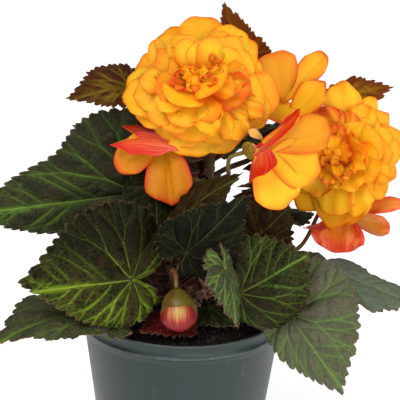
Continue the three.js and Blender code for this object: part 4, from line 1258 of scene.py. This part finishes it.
def makeStem(name, stem, seed):
    s = stemSettings
    heap = Heap()
    random = np.random.default_rng(seed)
    foot = stem["places"][0]
    spine = curveThrough(stem["places"], 0.5)
    addShoot(heap, random, stem["places"], stem["foot"], stem["head"], stalk=stem["fresh"])
    for height, way in stem["bracts"]:
        at = spine[np.abs(spine[:, 2] - height).argmin()]
        addBracts(heap, random, at, np.array(way), *s["stemBracts"])
    for leaf in (one for one in leaves.values() if one["stem"] == name):
        out = bladeFrame(leaf["joint"], leaf["tip"], leaf["face"], math.radians(leaf["droop"]))["out"]
        path = branchPath(spine, foot, np.array(leaf["joint"], float) - out * 0.5, out, leaf["via"])
        addShoot(heap, random, path, s["petiole"], s["petiole"] * 0.8)
        addBracts(heap, random, path[0], unit(path[1] - path[0]), *s["rootBracts"])
        if leaf["bracts"]:
            line = curveThrough(path, 1.0)
            for share in (0.2, 0.45, 0.7):
                way = unit(pointAt(line, share + 0.05) - pointAt(line, share)) + up * 0.3
                addBracts(heap, random, pointAt(line, share), way, leaf["bracts"], s["petioleBract"])
    for _, end, way, stop, radius, via in (one for one in stalks if one[0] == name):
        way = unit(np.array(way, float))
        path = branchPath(spine, foot, np.array(end, float) - way * stop, way, via)
        addShoot(heap, random, path, radius, radius * 0.8, stalk=1.0)
    node = "stem_" + name
    makePiece(pieceName(node), heap, stemMaterial, node)


stemMaterial = stemSkin()
for index, (name, stem) in enumerate(stems.items()):
    makeStem(name, stem, 900 + index)
print("stems made:", len(stems))


# Ovaries and bud

# A body of rings on a straight axis. `profile` holds how far along and how wide each ring is, and
# `section` how far it stands out at each turn.
def addTurned(heap, start, end, radius, profile, section):
    steps, sides = 22, 60
    axis = end - start
    across = unit(np.cross(up, axis))
    top = np.cross(unit(axis), across)
    places, widths = zip(*profile)
    along = (1 - np.cos(np.linspace(0, math.pi, steps))) / 2
    fine = np.interp(along, places, widths)
    for _ in range(2):
        fine[1:-1] = (fine[:-2] + 2 * fine[1:-1] + fine[2:]) / 4
    turn = np.arange(sides) * 2 * math.pi / sides
    reach = radius * fine[:, None] * section(turn)[None, :]
    rings = start + along[:, None, None] * axis + reach[..., None] * (
        np.cos(turn)[None, :, None] * across + np.sin(turn)[None, :, None] * top
    )
    flat = np.stack([
        np.repeat(along, sides), np.tile(np.cos(turn), steps), np.tile(np.sin(turn), steps),
    ], 1)
    # distance from a point at the front of the body, which the bud's skin paints cream: partly its pale base,
    # partly painted highlight
    spot = np.linalg.norm(rings.reshape(-1, 3) - (start + axis * 0.08 + np.array([0, -radius, 1.5])), axis=1)
    addRings(heap, rings, flat=flat, along=np.repeat(along, sides), spot=spot)


def wings(turn):  # three thin wings round a small body
    away = np.abs((turn + math.pi / 3) % (2 * math.pi / 3) - math.pi / 3)
    return 0.52 + 0.48 * np.exp(-((away / math.radians(15)) ** 2))


ovaryColours = {
    "olive": rgb(142, 104, 8),
    "green": rgb(104, 78, 6),
    "cream": rgb(226, 168, 82),
    "pink": rgb(214, 120, 96),
}


def ovarySkin():
    look = Look("ovarySkin")
    c = ovaryColours
    along = look.mark("along")
    grain = look.noise(500.0, 3.0)
    body = look.mix(look.step(grain, 0.35, 0.65), c["green"], c["olive"])
    body = look.mix(look.step(along + (grain - 0.5) * 0.3, 0.9, 1.1), body, c["cream"])
    body = look.mix(look.step(along + (grain - 0.5) * 0.2, 0.9, 1.0) * 0.7, body, c["pink"])
    wing, rim = look.marks("pink", "rim")
    body = look.mix(wing * look.step(along, 0.0, 0.7, 0.15, 0.75), body, c["cream"])
    body = look.mix(wing * look.step(rim, 0.75, 1.0) * 0.7, body, c["pink"])
    return look.finish(**{
        "Base Color": body, "Roughness": look.step(grain, 0.2, 0.8, 0.42, 0.58), "Specular IOR Level": 0.2,
        "Normal": look.bump(grain, 0.0002, 0.5), "Subsurface Weight": 0.2,
        "Subsurface Radius": (0.6, 1.0, 0.2), "Subsurface Scale": 0.001,
    })


ovaryMaterial = ovarySkin()
ovaryProfile = [(0, 0.3), (0.25, 0.85), (0.6, 1), (0.85, 0.8), (1, 0.45)]
for flowerNode, flower in singles.items():
    heap = Heap()
    head, foot = np.array(flower["base"], float), np.array(flower["ovary"], float)
    addTurned(heap, foot, head - unit(head - foot) * 2.6, 6.6, ovaryProfile, wings)
    if "wing" in flower:
        face = (0, -0.9, 0.4)
        addTepal(heap, *flower["wing"], face, 5.5, cup=30, curl=25, point=0.2, pink=1.0, seed=41)
    node = flowerNode.replace("flower_single", "ovary")
    makePiece(pieceName(node), heap, ovaryMaterial, node)

budColours = {
    "olive": rgb(96, 88, 22),
    "brown": rgb(92, 58, 18),
    # cream of the front spot: partly the bud's pale base, partly painted highlight
    "cream": rgb(186, 152, 84),
    "pink": rgb(156, 50, 42),
    "red": rgb(120, 14, 20),
}


def budSkin(name, isCap):
    look = Look(name)
    c = budColours
    along, flat = look.mark("along"), look.mark("flat", "Vector")
    streak = look.noise(1.0, 2.0, 0.5, look.place((0.6, 9, 9), flat))
    cloud = look.noise(1.6, 3.0, 0.5, flat)
    if isCap:
        body = look.mix(look.step(cloud, 0.4, 0.65), c["olive"], c["brown"])
    else:
        # cream spot at the front fading to pink and red: partly the bud's pale base, partly painted highlight
        spot = look.mark("spot") + (streak - 0.5) * 8.0
        body = look.mix(look.step(spot, 0.5, 8.0), c["cream"], c["pink"])
        body = look.mix(look.step(spot, 5.0, 10.5), body, c["red"])
        hood = look.step(look.mark("spot") * 0.05 - along + (cloud - 0.5) * 0.08, 0.3, 0.4)
        body = look.mix(hood, body, c["olive"])
    return look.finish(**{
        "Base Color": body, "Roughness": look.step(streak, 0.2, 0.8, 0.35, 0.5), "Specular IOR Level": 0.25,
        "Normal": look.bump(streak, 0.0003, 0.4), "Subsurface Weight": 0.2,
        "Subsurface Radius": (1.0, 0.3, 0.2), "Subsurface Scale": 0.001,
    })


def budSection(turn):  # flattened a little, with a seam either side
    return 0.97 + 0.07 * np.cos(turn) ** 6 - 0.02 * np.cos(2 * turn)


heap = Heap()
capProfile = [(0, 0.2), (0.25, 0.55), (0.6, 0.85), (1, 1)]
addTurned(heap, budTop, budMiddle, 9.6, capProfile, budSection)
makePiece("budCap", heap, budSkin("budCapSkin", True), "bud_cap")
heap = Heap()
budProfile = [(0, 0.8), (0.22, 0.96), (0.5, 1), (0.75, 0.82), (0.93, 0.45), (1, 0.12)]
addTurned(heap, budMiddle, budTip, 11.0, budProfile, budSection)
makePiece("budBody", heap, budSkin("budBodySkin", False), "bud")
print("ovaries and bud made")


# Pot

potSettings = {
    "segments": 144,
    "height": 112.0,
    "rim": 61.6, "bead": 62.2, "foot": 47.0,  # radii
    "wall": 1.3, "floor": 1.6,  # thickness
    "collar": 8.5,  # height
    "drains": 5, "drain": 4.0, "drainCircle": 34.0,  # how many, and the radii of one and of their circle
}


def potProfile():
    s = potSettings
    rim, bead, foot, wall, top = (s[name] for name in ("rim", "bead", "foot", "wall", "height"))
    neck = top - s["collar"]
    taper = (bead - 1.5 - foot) / (neck - 1.6)
    outside = [(foot + taper * z, 0.8 + z) for z in np.linspace(0, neck - 1.6, 24)]
    return [
        (foot - 0.8, 0), (foot - 0.25, 0.2), *outside,
        (bead - 0.7, neck - 0.55), (bead - 0.15, neck - 0.2), (bead, neck + 0.1),
        (bead - 0.1, neck + 0.6), (bead - 0.4, neck + 1.2), (rim - 0.35, neck + 2.0),  # over the bead
        (rim - 0.6, neck + 4), (rim - 0.4, top - 1.7), (rim - 0.1, top - 1.3),
        (rim, top - 0.9), (rim - 0.1, top - 0.3), (rim - 0.4, top),  # over the lip
        (rim - wall + 0.2, top), (rim - wall, top - 0.25), (rim - 0.6 - wall, top - 1.6),
        (bead - 1.7 - wall, neck), (foot - wall, s["floor"]),  # and down inside
    ]


def turnedRings(profile, segments):
    turn = np.arange(segments) * 2 * math.pi / segments
    radius, height = (np.array(side)[:, None] for side in zip(*profile))
    return np.stack([radius * np.cos(turn), radius * np.sin(turn), height * np.ones_like(turn)], 2)


potColours = {
    "slate": rgb(15, 33, 32),
    "light": rgb(24, 41, 40),
    # scratches, and also the painted highlight along the lip and the bead
    "scuff": rgb(112, 122, 120),
    "dirt": rgb(28, 30, 28),
}


def potSkin():
    look = Look("potSkin")
    c = potColours
    cloud = look.noise(14.0, 3.0)
    grain = look.noise(900.0, 2.0)
    scratch = look.noise(260.0, 3.0, 0.6, look.place((1, 1, 0.07)))
    speck = look.noise(330.0, 2.0)
    body = look.mix(look.step(cloud, 0.3, 0.7), c["slate"], c["light"])
    body = look.mix(look.step(scratch, 0.66, 0.74) * 0.28, body, c["scuff"])
    body = look.mix(look.step(speck, 0.70, 0.75) * 0.5, body, c["dirt"])
    height = look.add("ShaderNodeSeparateXYZ", {}, {0: look.add("ShaderNodeTexCoord", {}, {}, "Object")}, 2)
    # Painted highlight: lighter lines along the lip and the top of the bead, where light catches them
    lip, bead = potSettings["height"] * mm, (potSettings["height"] - potSettings["collar"]) * mm
    onBead = look.step(height, bead - 0.0006, bead + 0.0002)
    aboveBead = look.step(height, bead + 0.0006, bead + 0.0014)
    paintedHighlight = look.step(height, lip - 0.0011, lip - 0.0003) + onBead * (1 - aboveBead)
    body = look.mix(paintedHighlight * look.step(cloud + (scratch - 0.5), 0.2, 0.7, 0.1, 0.34), body, c["scuff"])
    height = grain * 0.4 + cloud * 0.5
    return look.finish(**{
        "Base Color": body, "Roughness": look.step(cloud + (grain - 0.5) * 0.4, 0.2, 0.8, 0.34, 0.48),
        "Specular IOR Level": 0.45, "Normal": look.bump(height, 0.00015, 0.4),
    })


def makePot():
    s = potSettings
    heap = Heap()
    addRings(heap, turnedRings(potProfile(), s["segments"]))
    made = makePiece("potShell", heap, potSkin(), "pot")
    cutters = Heap()
    for k in range(s["drains"]):
        turn = k / s["drains"] * 2 * math.pi
        shift = s["drainCircle"] * np.array([math.cos(turn), math.sin(turn), 0])
        addRings(cutters, turnedRings([(s["drain"], -2), (s["drain"], 4)], 28) + shift)
    mesh = bpy.data.meshes.new("drains")
    points = np.concatenate(cutters.points) * mm
    mesh.from_pydata(points.tolist(), [], [face.tolist() for one in cutters.faces for face in one])
    drains = addObject("drains", mesh)
    cut = made.modifiers.new("drains", "BOOLEAN")
    cut.object = drains
    cut.operation = "DIFFERENCE"
    cut.solver = "EXACT"
    bpy.context.view_layer.update()
    finished = bpy.data.meshes.new_from_object(made.evaluated_get(bpy.context.evaluated_depsgraph_get()))
    made.modifiers.clear()
    made.data = finished
    bpy.data.objects.remove(drains)


makePot()


# Soil

soilSettings = {
    "belowRim": 5, "mound": 4.5,  # how low it lies at the pot's wall, and how much higher in its middle
    "rough": 0.35,
    "rings": 46, "sides": 150,
    "crumbs": 1300,
    "crumbSize": (0.5, 1.7),
    "crumbsReach": 57,
}


def soilLevel(x, y):
    s = soilSettings
    share, turn = np.hypot(x, y) / potSettings["rim"], np.arctan2(y, x)
    lumps = 1.1 * np.sin(5 * turn + 9 * share) + 0.9 * np.sin(8 * turn - 14 * share + 1)
    level = potSettings["height"] - s["belowRim"] + s["mound"] * (1 - share ** 2)
    return level + lumps * smooth(share, 0.0, 0.3)


def soilSkin():
    look = Look("soilSkin")
    grain = look.noise(700.0, 4.0, 0.7)
    cloud = look.noise(120.0, 3.0)
    body = look.mix(look.step(grain, 0.35, 0.65), rgb(18, 14, 12), rgb(44, 33, 26))
    body = look.mix(look.step(cloud, 0.55, 0.75) * look.mark("crumb") * 0.6, body, rgb(82, 62, 44))
    return look.finish(**{
        "Base Color": body, "Roughness": look.step(grain, 0.2, 0.8, 0.8, 0.97), "Specular IOR Level": 0.2,
        "Normal": look.bump(grain + cloud, 0.0008, 0.9),
    })


def makeSoil():
    s = soilSettings
    random = np.random.default_rng(77)
    neck = potSettings["height"] - potSettings["collar"]
    side = [(45.1, potSettings["floor"] + 0.3), (58.6, neck - 0.5)]  # just inside the pot's wall
    level = [(radius, 0) for radius in (58.7, *np.linspace(57.5, 1.2, s["rings"]))]
    rings = turnedRings(side + level, s["sides"])
    top = rings[len(side):]
    rough = random.normal(0, s["rough"], top.shape[:2]) * np.minimum(1, np.arange(len(top)) / 2)[:, None]
    top[..., 2] = soilLevel(top[..., 0], top[..., 1]) + rough
    heap = Heap()
    addRings(heap, rings)
    ball = Heap()
    addBall(ball, np.zeros(3), 1.0, 4)
    shape = ball.points[0]
    count = s["crumbs"]
    away = s["crumbsReach"] * np.sqrt(random.uniform(0, 1, count))
    turn = random.uniform(0, 2 * math.pi, count)
    x, y = away * np.cos(turn), away * np.sin(turn)
    sizes = random.uniform(*s["crumbSize"], count) ** 1.4
    for k in range(count):
        spin = np.linalg.qr(random.normal(size=(3, 3)))[0]
        spin *= np.linalg.det(spin)
        lump = shape * (1 + 0.25 * random.normal(size=(len(shape), 1))) * random.uniform(0.5, 1.2, 3)
        middle = np.array([x[k], y[k], soilLevel(x[k], y[k]) + 0.25 * sizes[k]])
        heap.add(lump * sizes[k] @ spin.T + middle, ball.faces, crumb=1.0)
    makePiece("soilTop", heap, soilSkin(), "soil")


makeSoil()
print("pot and soil made")


# Camera, light and floor

cameraSettings = {
    "target": (9.0, 0.0, 181.0),
    "distance": 800.0,
    "elevation": 18.0,
    "roll": 1.6,
    "lens": 119.52,
    "sensor": 36.0,
}


def makeCamera():
    s = cameraSettings
    camera = addObject("camera", bpy.data.cameras.new("camera"))
    camera.data.lens = s["lens"]
    camera.data.sensor_width = s["sensor"]
    tilt = math.radians(90 - s["elevation"])
    away = np.array([0, -math.sin(tilt), math.cos(tilt)]) * s["distance"]
    where = (np.array(s["target"]) + away) * mm
    turn = Matrix.Rotation(tilt, 4, "X") @ Matrix.Rotation(math.radians(s["roll"]), 4, "Z")
    camera.matrix_world = Matrix.Translation(where) @ turn
    bpy.context.scene.camera = camera


lightSettings = {
    "worldStrength": 0.5,
    "aimedAt": (0, 0, 0.18),
    "lamps": [
        {"name": "keyLight", "place": (-0.45, -1.3, 1.6), "size": 1.0, "power": 21.0},
        {"name": "frontLight", "place": (0.4, -1.5, 0.15), "size": 1.0, "power": 8.0},
        {"name": "fillLight", "place": (1.3, -1.1, 0.8), "size": 1.2, "power": 8.0},
    ],
    "floorReach": 40.0, "floorLevel": -0.0002,  # in metres
    "floorColour": (0.92, 0.92, 0.92, 1.0),
}


def makeLight():
    s = lightSettings
    world = bpy.data.worlds.new("studio")
    world.use_nodes = True
    world.node_tree.nodes["Background"].inputs["Color"].default_value = (1, 1, 1, 1)
    world.node_tree.nodes["Background"].inputs["Strength"].default_value = s["worldStrength"]
    bpy.context.scene.world = world
    for lamp in s["lamps"]:
        data = bpy.data.lights.new(lamp["name"], "AREA")
        data.shape = "DISK"
        data.size = lamp["size"]
        data.energy = lamp["power"]
        made = addObject(lamp["name"], data)
        place = np.array(lamp["place"])
        back = unit(place - np.array(s["aimedAt"]))
        side = unit(np.cross(up, back))
        top = np.cross(back, side)
        made.matrix_world = Matrix((
            (side[0], top[0], back[0], place[0]), (side[1], top[1], back[1], place[1]),
            (side[2], top[2], back[2], place[2]), (0, 0, 0, 1),
        ))


def makeFloor():
    s = lightSettings
    mesh = bpy.data.meshes.new("floor")
    corners = [(x * s["floorReach"], y * s["floorReach"]) for x, y in ((-1, -1), (1, -1), (1, 1), (-1, 1))]
    mesh.from_pydata([(x, y, s["floorLevel"]) for x, y in corners], [], [(0, 1, 2, 3)])
    look = Look("floorPaint")
    colour = look.mix(look.noise(3.0), (0.90, 0.90, 0.90, 1), s["floorColour"])
    mesh.materials.append(look.finish(**{
        "Base Color": colour, "Roughness": 0.8, "Emission Color": (1, 1, 1, 1), "Emission Strength": 0.5,
    }))
    addObject("floor", mesh)


makeCamera()
makeLight()
makeFloor()
bpy.context.scene.view_settings.view_transform = "Standard"
